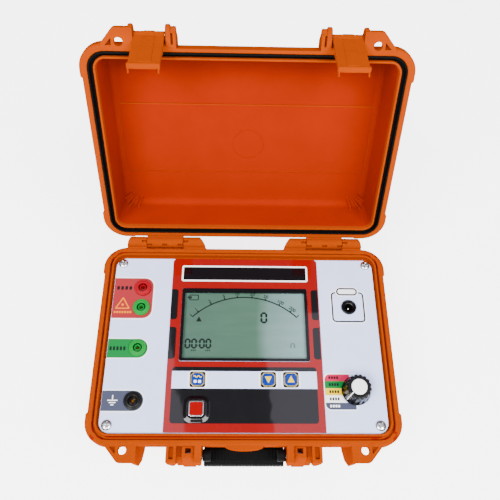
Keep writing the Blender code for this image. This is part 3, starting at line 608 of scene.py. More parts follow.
def hinge_outline(upper):
    """Side view of a knuckle: the barrel and the web that joins it to the rim."""
    start = REAR - 3.5
    if upper:
        web_z = RIM_Z + 0.8
        points = [(start, web_z), (REAR + 0.9, web_z)]
        points += arc(HINGE_Y, HINGE_Z, BARREL_RADIUS, 172, 450, 36)
        return points + [(REAR + 1.0, 94.4), (start, 94.4)]
    points = [(start, FLANGE_UNDERSIDE_Z), (start, RIM_Z - 0.5), (REAR + 0.95, RIM_Z - 0.5)]
    points += arc(HINGE_Y, HINGE_Z, BARREL_RADIUS, 176, -90, 36)
    return points + [(REAR + 1.0, FLANGE_UNDERSIDE_Z)]


def base_hinge_block(x_low, x_high):
    """Part of a base hinge block between two x values, with its outer ends tapered."""
    near, far = REAR - 4.0, REAR + 12.2
    taper = [(BASE_BLOCK_X[0], near), (BASE_BLOCK_X[1], near), (BASE_BLOCK_X[1], REAR),
             (BASE_BLOCK_TIP_X[1], far), (BASE_BLOCK_TIP_X[0], far), (BASE_BLOCK_X[0], REAR)]
    knuckle = prism(hinge_outline(False), x_low, x_high, "x")
    block = combined(knuckle, [prism(taper, 60.0, 110.0)], "INTERSECT")
    return eased(block, 0.35, 2, 40)


def base_body():
    """Lower case, outside and inside, as one surface round the rim."""
    rows = [(22.0, 0.0, 0.0, 0), (18.0, 0.0, 0.0, 1.5), (12.8, 0.0, 0.0, 4.0),
            (11.2, 8.0, 0.0, 4.0), (8.8, FLANGE_UNDERSIDE_Z - 2.0, 0.0, 2.0),
            (8.4, FLANGE_UNDERSIDE_Z, 0.0, 1.0), (0.0, FLANGE_UNDERSIDE_Z, 1.0, 1.2),
            (0.0, RIM_Z - 1.2, 1.0, 1.0), (1.5, RIM_Z, 1.0, 1.2),
            (4.9, RIM_Z, 0.0, 0.6), (FLANGE_INSET + 0.2, GROOVE_Z, 0.0, 0.4),
            (TONGUE[0], GROOVE_Z, 0.0, 0.4), (TONGUE[0] + 0.2, TONGUE_Z, 0.0, 0.7),
            (TONGUE[1] - 0.1, TONGUE_Z, 0.0, 0.7), (TONGUE[1], LEDGE_Z, 0.0, 0.4),
            (LEDGE_INSET, LEDGE_Z, 0.0, 0.4), (LEDGE_INSET, LEDGE_Z - 4.0, 0.0, 0.4),
            (8.8 + WALL, 72.0, 0.0, 1.0), (11.4 + WALL, 9.0, 0.0, 3.0),
            (17.0, WALL, 0.0, 3.0), (24.0, WALL, 0.0, 0)]
    return case_loft(rows)


def base_features():
    """Ears, ribs, handle brackets, finger lip and hinge webs."""
    ear = ear_plate(RIM_Z - 5.0, RIM_Z - 0.4)
    ear_wall = base_lug(*EAR_WALL_X, EAR_WALL_X[0], EAR_WALL_X[0] + 1.8)
    rib = base_lug(*RIB_X, 62.4, 65.2)
    inner_rib = base_lug(*INNER_RIB_X, 38.6, 41.4)
    wall = FRONT + WALL_ROOT
    bracket = prism([(wall, 80.5), (FRONT - 9.4, 80.5), (FRONT - 10.2, 79.6),
                     (FRONT - 10.2, 78.2), (FRONT - 11.2, 73.0), (FRONT - 13.4, 60.0),
                     (FRONT - 13.4, 48.0), (wall, 37.0)], *BRACKET_X, "x", 0.6)
    filler = prism([(wall, 77.0), (FRONT - 8.0, 77.0), (FRONT - 10.2, 71.0), (FRONT - 12.4, 60.0),
                    (FRONT - 12.4, 50.0), (wall, 40.0)],
                   BRACKET_X[1] - 1.0, RIB_X[0] + 1.0, "x")
    lip = [(17.0 * math.cos(a), FRONT - 4.0 * math.sin(a))
           for a in [math.pi * step / 32 for step in range(33)]]
    lip = [(17.0, FRONT + 1.0)] + lip + [(-17.0, FRONT + 1.0)]
    web = prism(rectangle(LID_KNUCKLE_X[0] - 2.0, LID_KNUCKLE_X[1] + 2.0, REAR - 3.5, REAR + 7.0),
                FLANGE_UNDERSIDE_Z, 79.7)
    return both_sides(ear, ear_wall, rib, inner_rib, bracket, filler, web) + [
        prism(lip, 81.0, 84.4, edge=0.5)]


BRACKET_WINDOW = (46.7, 51.9, FRONT - 5.6, FRONT - 0.9)


def base_cutters():
    """Padlock holes, rib pockets, bracket windows and pin holes."""
    pocket = prism(rectangle(*RIB_POCKET_X, FRONT - 11.0, FRONT - 0.6, 0.9), 81.6, RIM_Z + 2.0)
    window = prism(rectangle(*BRACKET_WINDOW, 0.5), 70.0, RIM_Z + 2.0)
    handle_pin = cylinder(HANDLE_PIVOT, PIN_RADIUS + 0.3, INNER_RIB_X[0] - 1.0, 47.0, "x", 24)
    hinge_pin = cylinder((HINGE_Y, HINGE_Z), PIN_RADIUS + 0.3, 35.0, 125.0, "x", 24)
    slot_x = (BASE_BLOCK_X[0] + 18.5, LID_KNUCKLE_X[1] + KNUCKLE_GAP)
    top = HINGE_Z + BARREL_RADIUS
    slots = [prism(rectangle(x, x + 5.0, HINGE_Y - 2.6, HINGE_Y - 0.4, 0.5), top - 3.0, top + 3.0)
             for x in slot_x]
    return both_sides(*ear_cutters(RIM_Z - 8.0, RIM_Z + 2.0, (RIM_Z - 3.6, RIM_Z + 2.0)),
                      pocket, window, handle_pin, hinge_pin, *slots)


def face_place(face):
    """A face's middle, and how far that lies inside the case's outline."""
    middle = face.calc_center_median()
    return middle, min(CASE_WIDTH / 2 - abs(middle.x), CASE_DEPTH / 2 - abs(middle.y))


def make_base():
    """The orange lower case."""
    knuckles = [base_hinge_block(BASE_BLOCK_X[0] - 1.0, LID_KNUCKLE_X[0] - KNUCKLE_GAP),
                base_hinge_block(LID_KNUCKLE_X[1] + KNUCKLE_GAP, BASE_BLOCK_X[1] + 1.0)]
    places = [centre(f"panel_screw_{number}") for number in SCREWS]
    bosses = [cylinder(place, 5.2, 58.0, LEDGE_Z - 0.01) for place in places]
    body = joined(base_body(), *base_features(), *both_sides(*knuckles), *bosses)
    holes = [cylinder(place, 1.9, 62.0, LEDGE_Z + 1.0, steps=24) for place in places]
    body = cut(body, *base_cutters(), *holes)
    # Faces of the groove between flange and tongue take the darker orange: painted shade, not a
    # different plastic.
    for face in body.faces:
        middle, inset = face_place(face)
        if FLANGE_INSET - 0.1 < inset < TONGUE[0] + 0.3 and GROOVE_Z - 0.5 < middle.z < 88.8:
            face.material_index = 1
    base = make_piece("base_case", body, MAT["orange"], "base",
                      ("base_shell",))
    base.data.materials.append(MAT["orange_groove_painted_shade"])
    x_low, x_high, y_low, y_high = BRACKET_WINDOW
    for side, clip in zip(("right", "left"), both_sides(
            prism(rectangle(x_low + 0.15, x_high - 0.15, y_low + 0.15, y_high - 2.2, 0.3),
                  70.1, 72.0, edge=0.5))):
        make_piece(f"handle_pin_clip_{side}", clip, MAT["dark_steel"], "base")


def lid_body():
    """Lid as one surface from its crown over the rim to its inside."""
    rows = [(30.0, LID_TOP_Z, 0.0, 0), (15.6, LID_TOP_Z, 0.0, 7.0),
            (12.0, LID_TOP_Z - 9.0, 0.0, 6.0), (8.9, RIM_Z + 11.5, 0.0, 2.0),
            (8.6, RIM_Z + 9.8, 0.0, 0.8), (0.0, RIM_Z + 9.8, 1.0, 1.2),
            (0.0, RIM_Z + 1.5, 1.0, 1.0), (1.5, RIM_Z + LID_GAP, 1.0, 1.2),
            (FLANGE_INSET, RIM_Z + LID_GAP, 0.0, 0.6),
            (FLANGE_INSET + 0.1, SEAL_Z[1] + LID_GAP, 0.0, 0),
            (LID_LIP[0] - 0.1, SEAL_Z[1] + LID_GAP, 0.0, 0), (LID_LIP[0], RIM_Z + 1.2, 0.0, 0.5),
            (LID_LIP[1], RIM_Z + 1.2, 0.0, 0.6), (12.8, RIM_Z + 6.5, 0.0, 2.0),
            (16.2, LID_TOP_Z - 3.0, 0.0, 6.5), (36.0, LID_TOP_Z - 3.0, 0.0, 0)]
    return case_loft(rows, steps=7)


GUSSET_OUTLINE = ((-7.5, 127.6), (1.0, 127.6), (6.0, 123.4), (6.0, 116.5), (4.6, 116.5),
                  (-6.5, 126.5))
GUSSETS = (((110.5, 78.0), 66.0), ((118.5, 77.5), 42.0), ((122.6, 70.5), 18.0))


def make_lid():
    """The orange lid, with its ears, catch lugs and hinge knuckles."""
    ear = ear_plate(RIM_Z + LID_GAP, RIM_Z + 5.0)
    ear_wall = prism(lid_lug(), *EAR_WALL_X, "x", 1.8, 4)
    rib = prism(lid_lug(), LID_POCKET_X[1], RIB_X[1] - LID_GAP, "x", 1.7, 4)
    roof = prism(rectangle(RIB_X[1] - 1.0, EAR_WALL_X[0] + 1.0, FRONT - 7.6, FRONT + WALL_ROOT),
                 97.4, 99.4)
    low_rib = prism(lid_lug(0.72), RIB_X[0], LID_POCKET_X[1] + 1.0, "x", 0.9, 3)
    knuckle = prism(hinge_outline(True), *LID_KNUCKLE_X, "x", 0.4)
    plateau = eased(prism(rectangle(-121.0, 121.0, -30.0, 42.0), 126.0, 128.5), 0.6, 3)
    gussets = []
    for place, turn_deg in GUSSETS:
        gussets.append(prism(GUSSET_OUTLINE, -0.7, 0.7, "y"))
        turn = Matrix.Translation((*place, 0.0)) @ Matrix.Rotation(math.radians(turn_deg), 4, "Z")
        bmesh.ops.transform(gussets[-1], matrix=turn, verts=gussets[-1].verts)
    body = joined(lid_body(), *both_sides(ear, ear_wall, rib, low_rib, knuckle, roof, *gussets),
                  plateau)
    pocket = prism(rectangle(*LID_POCKET_X, FRONT - 9.8, FRONT - 0.6, 0.8), RIM_Z - 2.0, 89.8)
    ring = turned([(14.6, 125.0), (15.4, 125.0), (15.4, 126.3), (14.6, 126.3)],
                  (1.8, REAR - 85.6))
    catch_pin = cylinder(CATCH_PIVOT, 1.8, 61.0, 101.0, "x", 24)
    hinge_pin = cylinder((HINGE_Y, HINGE_Z), PIN_RADIUS + 0.3, 60.0, 103.0, "x", 24)
    recess = prism(rectangle(-104.0, 104.0, -29.0, 41.0, 6.0), 129.0, 133.0)
    slots = [prism(rectangle(x - 2.5, x + 2.5, -1.2, 1.2, 0.5), -1.5, 6.0)
             for x in (66.0, 81.6, 97.0)]
    face = (Matrix.Translation((0.0, HINGE_Y, HINGE_Z)) @ Matrix.Rotation(LID_OPEN + 0.95, 4, "X")
            @ Matrix.Translation((0.0, 0.0, BARREL_RADIUS - 1.6)))
    for slot in slots:
        bmesh.ops.transform(slot, matrix=face, verts=slot.verts)
    cutters = ear_cutters(RIM_Z - 2.0, RIM_Z + 8.0, (RIM_Z - 1.0, RIM_Z + 4.0))
    for cutter in cutters:
        bmesh.ops.translate(cutter, verts=cutter.verts, vec=(0.0, 1.3, 0.0))
    step = prism(rectangle(-RIB_X[0] - 0.1, RIB_X[0] + 0.1, FRONT - 3.0, FRONT + 2.3),
                 RIM_Z - 3.0, RIM_Z + 12.0)
    body = cut(body, *both_sides(*cutters, pocket, catch_pin, hinge_pin, *slots), recess, ring,
               step)
    # Inner walls of the lid take the darker, redder orange: painted shade inside the lid.
    for face in body.faces:
        middle, inset = face_place(face)
        inwards = face.normal.x * middle.x + face.normal.y * middle.y < 0.01
        inside = (91.0 < middle.z < 128.4 and face.normal.z < 0.4 and inwards
                  and inset > 11.0 + (middle.z - 92.0) * 0.11)
        face.material_index = 1 if inside else 0
    lid = make_piece("lid_case", body, MAT["orange"], "lid", ("lid_shell",),
                     LID_TURN)
    lid.data.materials.append(MAT["orange_inside_painted_shade"])
    low, high = SEAL_Z
    inner, outer = LID_LIP[0] - 0.15, FLANGE_INSET + 0.15
    edge, crest = SEAL_SHOULDER
    rows = [(outer, high, 0.0, 0.3), (outer, crest + 0.3, 0.0, 0.3),
            (outer + 0.3, crest, 0.0, 0.3), (edge - 0.3, crest, 0.0, 0.3),
            (edge, crest + 0.4, 0.0, 0.3), (edge, low, 0.0, 0.2), (inner - 0.5, low, 0.0, 0.4),
            (inner, low + 0.5, 0.0, 0.5), (inner, high, 0.0, 0.3)]
    make_piece("lid_seal_ring", case_loft(rows, closed=True), MAT["rubber"], "lid",
               ("lid_seal",), LID_TURN)


def lay(name, shape, finish, body="base", nodes=()):
    """Short form of make_piece for what is printed on, let into or fixed to the panel."""
    return make_piece(name, shape, MAT[finish], body, nodes)


# ---------------------------------------------------------------- catches, handle, pins
CATCH_X = (68.6, 93.6)
CATCH_TILT = math.radians(14.5)
CATCH_LENGTH = 46.5
CATCH_TURN = (LID_TURN @ Matrix.Translation((0.0, *CATCH_PIVOT))
              @ Matrix.Rotation(CATCH_TILT, 4, "X"))


def catch_body():
    """Catch plate that hangs from its pivot, with hook, step and slim finger bar."""
    half = 1.4
    end = -CATCH_LENGTH
    outline = arc(0.0, 0.0, 2.8, -20, 206, 28)
    outline += [(-half, -4.0), (-half, end + 4.0)]
    outline += rounded([(half, end + 1.0, 0), (half, -35.0, 0), (2.6, -27.0, 2.0),
                        (3.9, -21.6, 1.0), (4.28, -19.3, 0.6), (half, -18.6, 0.5),
                        (half, -4.0, 0)])
    plate = prism(outline, *CATCH_X, "x", 0.35)
    middle = (CATCH_X[0] + CATCH_X[1]) / 2
    band = prism(rounded([(-half + 0.2, -3.0, 0), (-half - 0.4, -4.2, 0.3),
                          (-half - 0.4, end + 6.0, 0.3), (-half + 0.2, end + 5.2, 0)], True),
                 middle - 5.2, middle + 5.2, "x", 0.2)
    tab = prism(arc(0.0, 0.0, 3.25, 20, 170, 20), middle - 4.4, middle + 4.4, "x", 0.3)
    bar = prism(rounded([(-half + 0.6, end + 4.4, 0.3), (-half - 1.4, end + 3.8, 0.8),
                         (-half - 2.0, end + 1.8, 1.0), (-half - 0.8, end + 0.4, 0.8),
                         (half, end + 0.6, 0.5), (half, end + 4.0, 0.2)], True, 4),
                CATCH_X[0] - 0.3, CATCH_X[1] + 0.3, "x", 0.5)
    legs = [prism(rounded([(half - 0.4, end + 3.0, 0), (half + 2.6, end - 0.4, 0.5),
                           (half + 1.6, end - 2.6, 0.5), (half - 1.6, end + 1.2, 0)], True),
                  x, x + 1.1, "x", 0.3) for x in (CATCH_X[0] + 0.2, CATCH_X[1] - 1.3)]
    bore = cylinder((0.0, 0.0), 1.8, 60.0, 100.0, "x", 24)
    dash = prism(rectangle(middle - 3.6, middle + 3.6, -9.0, -8.0, 0.4), -2.8, -1.3, "y")
    line = prism(rectangle(CATCH_X[0] + 0.8, CATCH_X[1] - 0.8, -20.5, -20.0, 0.1), -1.95, -1.15,
                 "y")
    return cut(joined(plate, band, tab, bar, *legs), bore, dash, line)


def make_catches():
    """Both catches, hanging open from the lid, on their steel pins."""
    for name, side in (("left", -1), ("right", 1)):
        body = catch_body()
        bmesh.ops.transform(body, matrix=CATCH_TURN, verts=body.verts)
        pin = cylinder(CATCH_PIVOT, 1.5, 61.6, 97.6, "x", 32, 0.3)
        bmesh.ops.transform(pin, matrix=LID_TURN, verts=pin.verts)
        if side < 0:
            body, pin = mirrored(body), mirrored(pin)
        make_piece(f"{name}_catch_plate", body, MAT["orange"], f"{name}_catch",
                   (f"catch_{name}",))
        make_piece(f"{name}_catch_axle", pin, MAT["steel"], "lid",
                   (f"catch_{name}_pin",))


HANDLE_HALF = 36.6
GRIP_Y = (FRONT - 13.0, FRONT + 4.6)
GRIP_Z = (42.0, 56.0)
GRIP_HALF = 36.5
GRIP_RIBS = 23
HANDLE_NECK = (31.6, 35.6, FRONT - 9.0, FRONT + 0.6)


def make_handle():
    """Folding handle: ribbed rubber grip over a plastic core with two arms."""
    shoulder = GRIP_Z[1] + 0.3
    arm = [(HANDLE_NECK[2] - 0.4, shoulder), (HANDLE_NECK[3] + 0.4, shoulder)]
    arm += arc(*HANDLE_PIVOT, 5.4, 10, 170, 24)
    arm = prism(arm, HANDLE_HALF - 7.0, HANDLE_HALF, "x", 0.7)
    neck = prism(rectangle(*HANDLE_NECK, 0.8), GRIP_Z[1] - 4.0, shoulder + 1.0)
    rail = prism(grip_section(2.4), -GRIP_HALF + 0.4, GRIP_HALF - 0.4, "x")
    core = joined(rail, *both_sides(arm, neck))
    hole = cylinder(HANDLE_PIVOT, PIN_RADIUS + 0.3, HANDLE_HALF - 4.1, 42.0, "x", 24)
    make_piece("handle_arms", cut(core, *both_sides(hole)), MAT["matt_black"], "handle",
               ("handle_core",))
    rings = []
    pitch = 2 * GRIP_HALF / GRIP_RIBS
    for number in range(GRIP_RIBS):
        start = -GRIP_HALF + number * pitch
        for step, inset in ((0.0, 0.22), (0.16, 0.05), (0.34, 0.0), (0.66, 0.0), (0.84, 0.05)):
            rings.append((start + step * pitch, inset))
    rings.append((GRIP_HALF, 0.22))
    shape = loft([[(x, y, z) for y, z in grip_section(inset)] for x, inset in rings])
    slot = prism(rectangle(*grown(HANDLE_NECK, 0.3), 1.0), GRIP_Z[1] - 3.0, GRIP_Z[1] + 1.0)
    shape = cut(shape, prism(grip_section(2.1), -40.0, 40.0, "x"), *both_sides(slot))
    make_piece("handle_sleeve", shape, MAT["rubber"], "handle",
               ("handle_grip",))
    for side in ("left", "right"):
        bpy.data.objects[f"handle_pin_{side}"].data.materials[0] = MAT["steel"]


def grip_section(inset):
    """Outline of the grip, (y, z), with round corners."""
    return rectangle(GRIP_Y[0] + inset, GRIP_Y[1] - inset, GRIP_Z[0] + inset,
                     GRIP_Z[1] - inset, 4.6 - inset, 6)


# ---------------------------------------------------------------- instrument panel
SOCKET_X = -100.2
SOCKETS = (("line", FRONT + 148.4, "red_plastic"), ("check", FRONT + 127.9, "green_plastic"),
           ("guard", FRONT + 87.5, "green_plastic"), ("earth", FRONT + 38.5, "black"))
CHARGE_PLACE = (101.7, FRONT + 129.4)
SELECTOR_PLACE = (101.7, FRONT + 48.0)
SCREWS = (1, 2, 3, 4)
KEY_SIZE = 13.6
INK = 0.06
THROUGH = (80.0, 90.0)


def centre(node):
    """Middle of a CAD node's box, seen from above."""
    box = extent(node)
    return (box[0] + box[1]) / 2, (box[2] + box[3]) / 2


def well(place):
    """Square hole with round corners for a key."""
    return prism(rectangle(*around(*place, KEY_SIZE / 2 + 0.4), 1.9), 80.0, 92.0)


def bored(place, radius):
    """Round hole through the panel."""
    return cylinder(place, radius, *THROUGH)


KEYS = {name: centre(name) for name in ("mode_key", "down_key", "up_key", "test_key")}


def band(outer, inner, low, high, edge=0.0):
    """Closed band between two outlines of equal length."""
    shape = loft([[(x, y, z) for x, y in outline] for outline, z in
                  ((outer, low), (outer, high), (inner, high), (inner, low))], True)
    return eased(shape, edge) if edge > 0 else shape


def ink(outline, base, *holes):
    """Thin printed area on a surface, with holes cut through it."""
    shape = prism(outline, base - 0.03, base + INK)
    return cut(shape, *holes) if holes else shape


def ink_band(outer, inner, base):
    """Thin printed line between two outlines of equal length."""
    return band(outer, inner, base - 0.03, base + INK)


def marks(name, finish, places, size, low, radius):
    """Row of short marks in place of words, printed on a label."""
    shapes = [ink(rectangle(x, x + size[0], FRONT + low, FRONT + low + size[1], radius),
                  PANEL_TOP + INK) for x in places]
    lay(name, merged(*shapes), finish)


def make_panel():
    """Lilac instrument panel and the red overlay on it."""
    cutters = [bored((SOCKET_X, y), 6.6) for name, y, colour in SOCKETS]
    cutters += [bored(centre(f"panel_screw_{number}"), 2.1) for number in SCREWS]
    cutters += [well(place) for place in KEYS.values()]
    cutters.append(prism(rectangle(*grown(WINDOW[:4], -1.8), 0.5), *THROUGH))
    cutters += [bored(CHARGE_PLACE, 5.9), bored(SELECTOR_PLACE, 4.9)]
    plate = prism(rectangle(*PANEL[:4], 10.0, 12), PANEL[4], PANEL_TOP, edge=0.2)
    lay("panel_plate", cut(plate, *cutters), "panel", nodes=("front_panel",))
    x_low, x_high, y_low, y_high = OVERLAY[:4]
    chamfer = 2.2
    outline = rounded([(x_low, y_low, 0.6), (x_high, y_low, 0.6), (x_high, y_high - chamfer, 0.8),
                       (x_high - chamfer, y_high, 0.8), (x_low + chamfer, y_high, 0.8),
                       (x_low, y_high - chamfer, 0.8)], True)
    wells = [well(place) for place in KEYS.values()]
    frame_gap = prism(rectangle(*grown(WINDOW[:4], 0.3), 1.7), *THROUGH)
    film = prism(outline, PANEL_TOP + 0.01, OVERLAY_TOP, edge=0.12)
    lay("overlay_film", cut(film, *wells, frame_gap), "red_film",
        nodes=("centre_overlay",))


MID_PANEL = (-66.5, 66.5, FRONT + 18.7, FRONT + 69.5)
MID_STRIP = (FRONT + 49.5, FRONT + 65.5)
TOP_BAR = (-61.0, 61.0, FRONT + 157.2, FRONT + 171.2)
SIDE_BLOCK_X = (65.0, 71.6)
SIDE_BLOCKS = ((FRONT + 115.8, FRONT + 147.0), (FRONT + 77.0, FRONT + 108.0))


def make_overlay_print():
    """Dark areas, the pale strip and the blank title bar on the red overlay."""
    wells = [well(place) for place in KEYS.values()]
    x_low, x_high, y_low, y_high = MID_PANEL
    rear = rectangle(x_low, x_high, MID_STRIP[1], y_high, (3.0, 3.0, 0, 0))
    front = rectangle(x_low, x_high, y_low, MID_STRIP[0], (0, 0, 3.0, 3.0))
    strip = rectangle(x_low, x_high, *MID_STRIP)
    lay("key_field_rear", ink(rear, OVERLAY_TOP), "dark_film")
    lay("key_field_front", ink(front, OVERLAY_TOP, wells[3]), "dark_film")
    lay("key_strip", ink(strip, OVERLAY_TOP, *wells[:3]), "panel")
    for name in ("mode_key", "down_key", "up_key"):
        outer = rectangle(*around(*KEYS[name], 8.9, 7.9), 3.4)
        inner = rectangle(*around(*KEYS[name], 7.3), 2.2)
        lay(f"{name}_glow", band(outer, inner, OVERLAY_TOP + 0.02, OVERLAY_TOP + 0.12), "halo")
    bar, bar_edge = rectangle(*TOP_BAR, 0.8), rectangle(*grown(TOP_BAR, 1.6), 2.0)
    lay("title_bar", ink(bar, OVERLAY_TOP), "black_film")
    lay("title_bar_border", ink_band(bar_edge, bar, OVERLAY_TOP), "white_ink")
    near, far = SIDE_BLOCK_X
    for tag, x_low, x_high, radii in (("left", -far, -near, (2.6, 0, 0, 2.6)),
                                      ("right", near, far, (0, 2.6, 2.6, 0))):
        for number, y_range in enumerate(SIDE_BLOCKS, 1):
            block = ink(rectangle(x_low, x_high, *y_range, radii), OVERLAY_TOP)
            lay(f"side_block_{tag}_{number}", block, "dark_film")


def label(name, finish, x_high, y_low, y_high, radius, border, *sockets):
    """Coloured field that runs in from the panel's left edge, with a pale border."""
    left = PANEL[0] + 0.25
    holes = [bored((SOCKET_X, y), 6.6) for socket, y, colour in SOCKETS if socket in sockets]
    outer = rectangle(left, x_high + border, FRONT + y_low - border, FRONT + y_high + border,
                      (radius + border, 0, 0, radius + border), 10)
    inner = rectangle(left, x_high, FRONT + y_low, FRONT + y_high, (radius, 0, 0, radius), 10)
    lay(f"{name}_label", ink(inner, PANEL_TOP, *holes), finish)
    lay(f"{name}_label_border", ink_band(outer, inner, PANEL_TOP), "halo")


def make_labels():
    """Socket labels on the left, with generic marks in place of words."""
    top = PANEL_TOP + INK
    label("line", "red_label", -89.8, 116.8, 158.8, 9.0, 1.3, "line", "check")
    label("guard", "green_label", -90.9, 77.9, 96.2, 9.1, 1.1, "guard")
    label("earth", "grey_label", -90.9, 29.4, 47.6, 9.0, 1.1, "earth")
    marks("line_marks", "black_ink", (-125.6, -121.6, -117.6, -113.6), (2.6, 3.8), 146.3, 0.7)
    marks("check_marks", "amber_ink", [-126.4 + 2.5 * step for step in range(7)], (1.9, 2.2),
          121.9, 0.4)
    middle = -118.5
    triangles = []
    for half, low, high, radius in ((7.5, 126.3, 139.0, 1.6), (5.4, 127.5, 136.6, 0.9)):
        corners = ((middle - half, low), (middle + half, low), (middle, high))
        triangles.append(rounded([(x, FRONT + y, radius) for x, y in corners], True, 4))
    lay("caution_triangle", ink_band(*triangles, top), "amber_ink")
    lay("caution_dot", ink(circle(middle, FRONT + 130.6, 1.3, 24), top), "amber_ink")
    marks("guard_marks", "black_ink", [-126.4 + 3.2 * step for step in range(5)], (2.0, 3.8),
          85.0, 0.6)
    stem_x = -118.6
    bars = [ink(rectangle(stem_x - half, stem_x + half, FRONT + y, FRONT + y + 0.9, 0.3), top)
            for half, y in ((4.6, 38.4), (3.0, 36.4), (1.4, 34.4))]
    stem = ink(rectangle(stem_x - 0.45, stem_x + 0.45, FRONT + 39.1, FRONT + 43.6, 0.2), top)
    lay("earth_symbol", merged(*bars, stem), "white_ink")


SELECTOR_ROWS = (("pink_ink", 57.0, 63.3, 96.5), ("green_label", 50.5, 57.0, 92.0),
                 ("yellow_ink", 44.0, 50.5, 90.0), ("white_ink", 37.4, 44.0, 92.0),
                 ("grey_label", 31.3, 37.4, 101.2))
CHARGE_FRAME = (84.9, 117.4, FRONT + 114.1, FRONT + 145.6)
CHARGE_TAB = (90.5, 111.4, FRONT + 142.0, FRONT + 150.0)


def make_right_print():
    """Range stack beside the selector and the battery outline round the charging socket."""
    last = len(SELECTOR_ROWS)
    corners = {1: (0, 5.0, 0, 0), last: (0, 0, 5.0, 0)}
    for number, (finish, y_low, y_high, x_high) in enumerate(SELECTOR_ROWS, 1):
        field = rectangle(73.6, x_high, FRONT + y_low, FRONT + y_high, corners.get(number, 0), 8)
        lay(f"range_field_{number}", ink(field, PANEL_TOP), finish)
        marks(f"range_marks_{number}", "white_ink" if number == last else "black_ink",
              (77.4, 79.8, 82.2, 84.6), (1.7, y_high - y_low - 3.9), y_low + 2.0, 0.5)
    outline = rectangle(72.4, 102.2, FRONT + 30.1, FRONT + 64.5, (1.0, 6.0, 6.0, 1.0), 8)
    inner = rectangle(73.5, 101.4, FRONT + 31.2, FRONT + 63.4, (0.5, 5.1, 5.1, 0.5), 8)
    lay("range_border", band(outline, inner, PANEL_TOP - 0.03, PANEL_TOP + 0.03), "halo")
    charge_print("charge_frame", CHARGE_FRAME, 4.0, PANEL_TOP)
    lay("charge_frame_glow", ink_band(rectangle(*grown(CHARGE_FRAME, 1.1), 5.1),
                                      rectangle(*CHARGE_FRAME, 4.0), PANEL_TOP), "halo")
    lay("charge_tab_field", ink(rectangle(*grown(CHARGE_TAB, 1.0), 4.9), PANEL_TOP + 0.02), "halo")
    charge_print("charge_tab", CHARGE_TAB, 3.9, PANEL_TOP + 0.02 + INK)


def charge_print(name, box, radius, base):
    """Black line of the battery outline."""
    line = 1.5
    inner = rectangle(*grown(box, -line), radius - line)
    lay(name, ink_band(rectangle(*box, radius), inner, base), "black_ink")


# ---------------------------------------------------------------- display
LCD_TOP = extent("lcd_panel")[5]
SCALE_CENTRE_Y = FRONT + 67.9
SCALE_RADIUS = 72.4
SCALE_END = 44.3
DIGIT_SIZE = 4.8
SCALE_TICKS = (-38.5, -26.8, -15.6, -5.7, 5.7, 16.0, 27.6, 37.8)


def on_scale(angle_deg, radius):
    """A place on the display's arc, by its angle from straight up."""
    angle = math.radians(angle_deg)
    return radius * math.sin(angle), SCALE_CENTRE_Y + radius * math.cos(angle)


def stroke(points, width, low, high):
    """Thin line of constant width through points."""
    left, right = [], []
    for index, (x, y) in enumerate(points):
        before = points[max(index - 1, 0)]
        after = points[min(index + 1, len(points) - 1)]
        along = Vector((after[0] - before[0], after[1] - before[1])).normalized() * width / 2
        left.append((x - along.y, y + along.x))
        right.append((x + along.y, y - along.x))
    return prism(left + right[::-1], low, high)


def digits(text, place, low, high, turn_deg):
    """Plain numerals as flat raised shapes."""
    curve = bpy.data.curves.new("digits", "FONT")
    curve.body = text
    curve.size = DIGIT_SIZE
    curve.align_x = "CENTER"
    curve.align_y = "CENTER"
    curve.extrude = (high - low) / 2
    curve.offset = 0.09
    curve.resolution_u = 3
    helper = bpy.data.objects.new("digits", curve)
    bpy.context.scene.collection.objects.link(helper)
    bpy.context.view_layer.update()
    mesh = bpy.data.meshes.new_from_object(helper.evaluated_get(
        bpy.context.evaluated_depsgraph_get()))
    shape = bmesh.new()
    shape.from_mesh(mesh)
    bpy.data.objects.remove(helper)
    bpy.data.curves.remove(curve)
    bpy.data.meshes.remove(mesh)
    bmesh.ops.remove_doubles(shape, verts=shape.verts, dist=1e-4)
    turn = (Matrix.Translation((*place, (low + high) / 2))
            @ Matrix.Rotation(math.radians(turn_deg), 4, "Z"))
    bmesh.ops.transform(shape, matrix=turn, verts=shape.verts)
    return shape


def segment_nought(x, y, width, height, line, low, high):
    """Nought of six segments with its lower left corner at a point."""
    half = height / 2
    shapes = []
    for (x_a, y_a), (x_b, y_b) in (
            ((0, height), (width, height)), ((width, height), (width, half)),
            ((width, half), (width, 0)), ((0, 0), (width, 0)), ((0, half), (0, 0)),
            ((0, height), (0, half))):
        along = Vector((x_b - x_a, y_b - y_a)).normalized()
        side = Vector((-along.y, along.x)) * line / 2
        start = Vector((x + x_a, y + y_a)) + along * line * 0.04
        end = Vector((x + x_b, y + y_b)) - along * line * 0.04
        bevel = along * line / 2
        points = [start, start + bevel - side, end - bevel - side, end, end - bevel + side,
                  start + bevel + side]
        shapes.append(prism([tuple(point) for point in points], low, high))
    return shapes


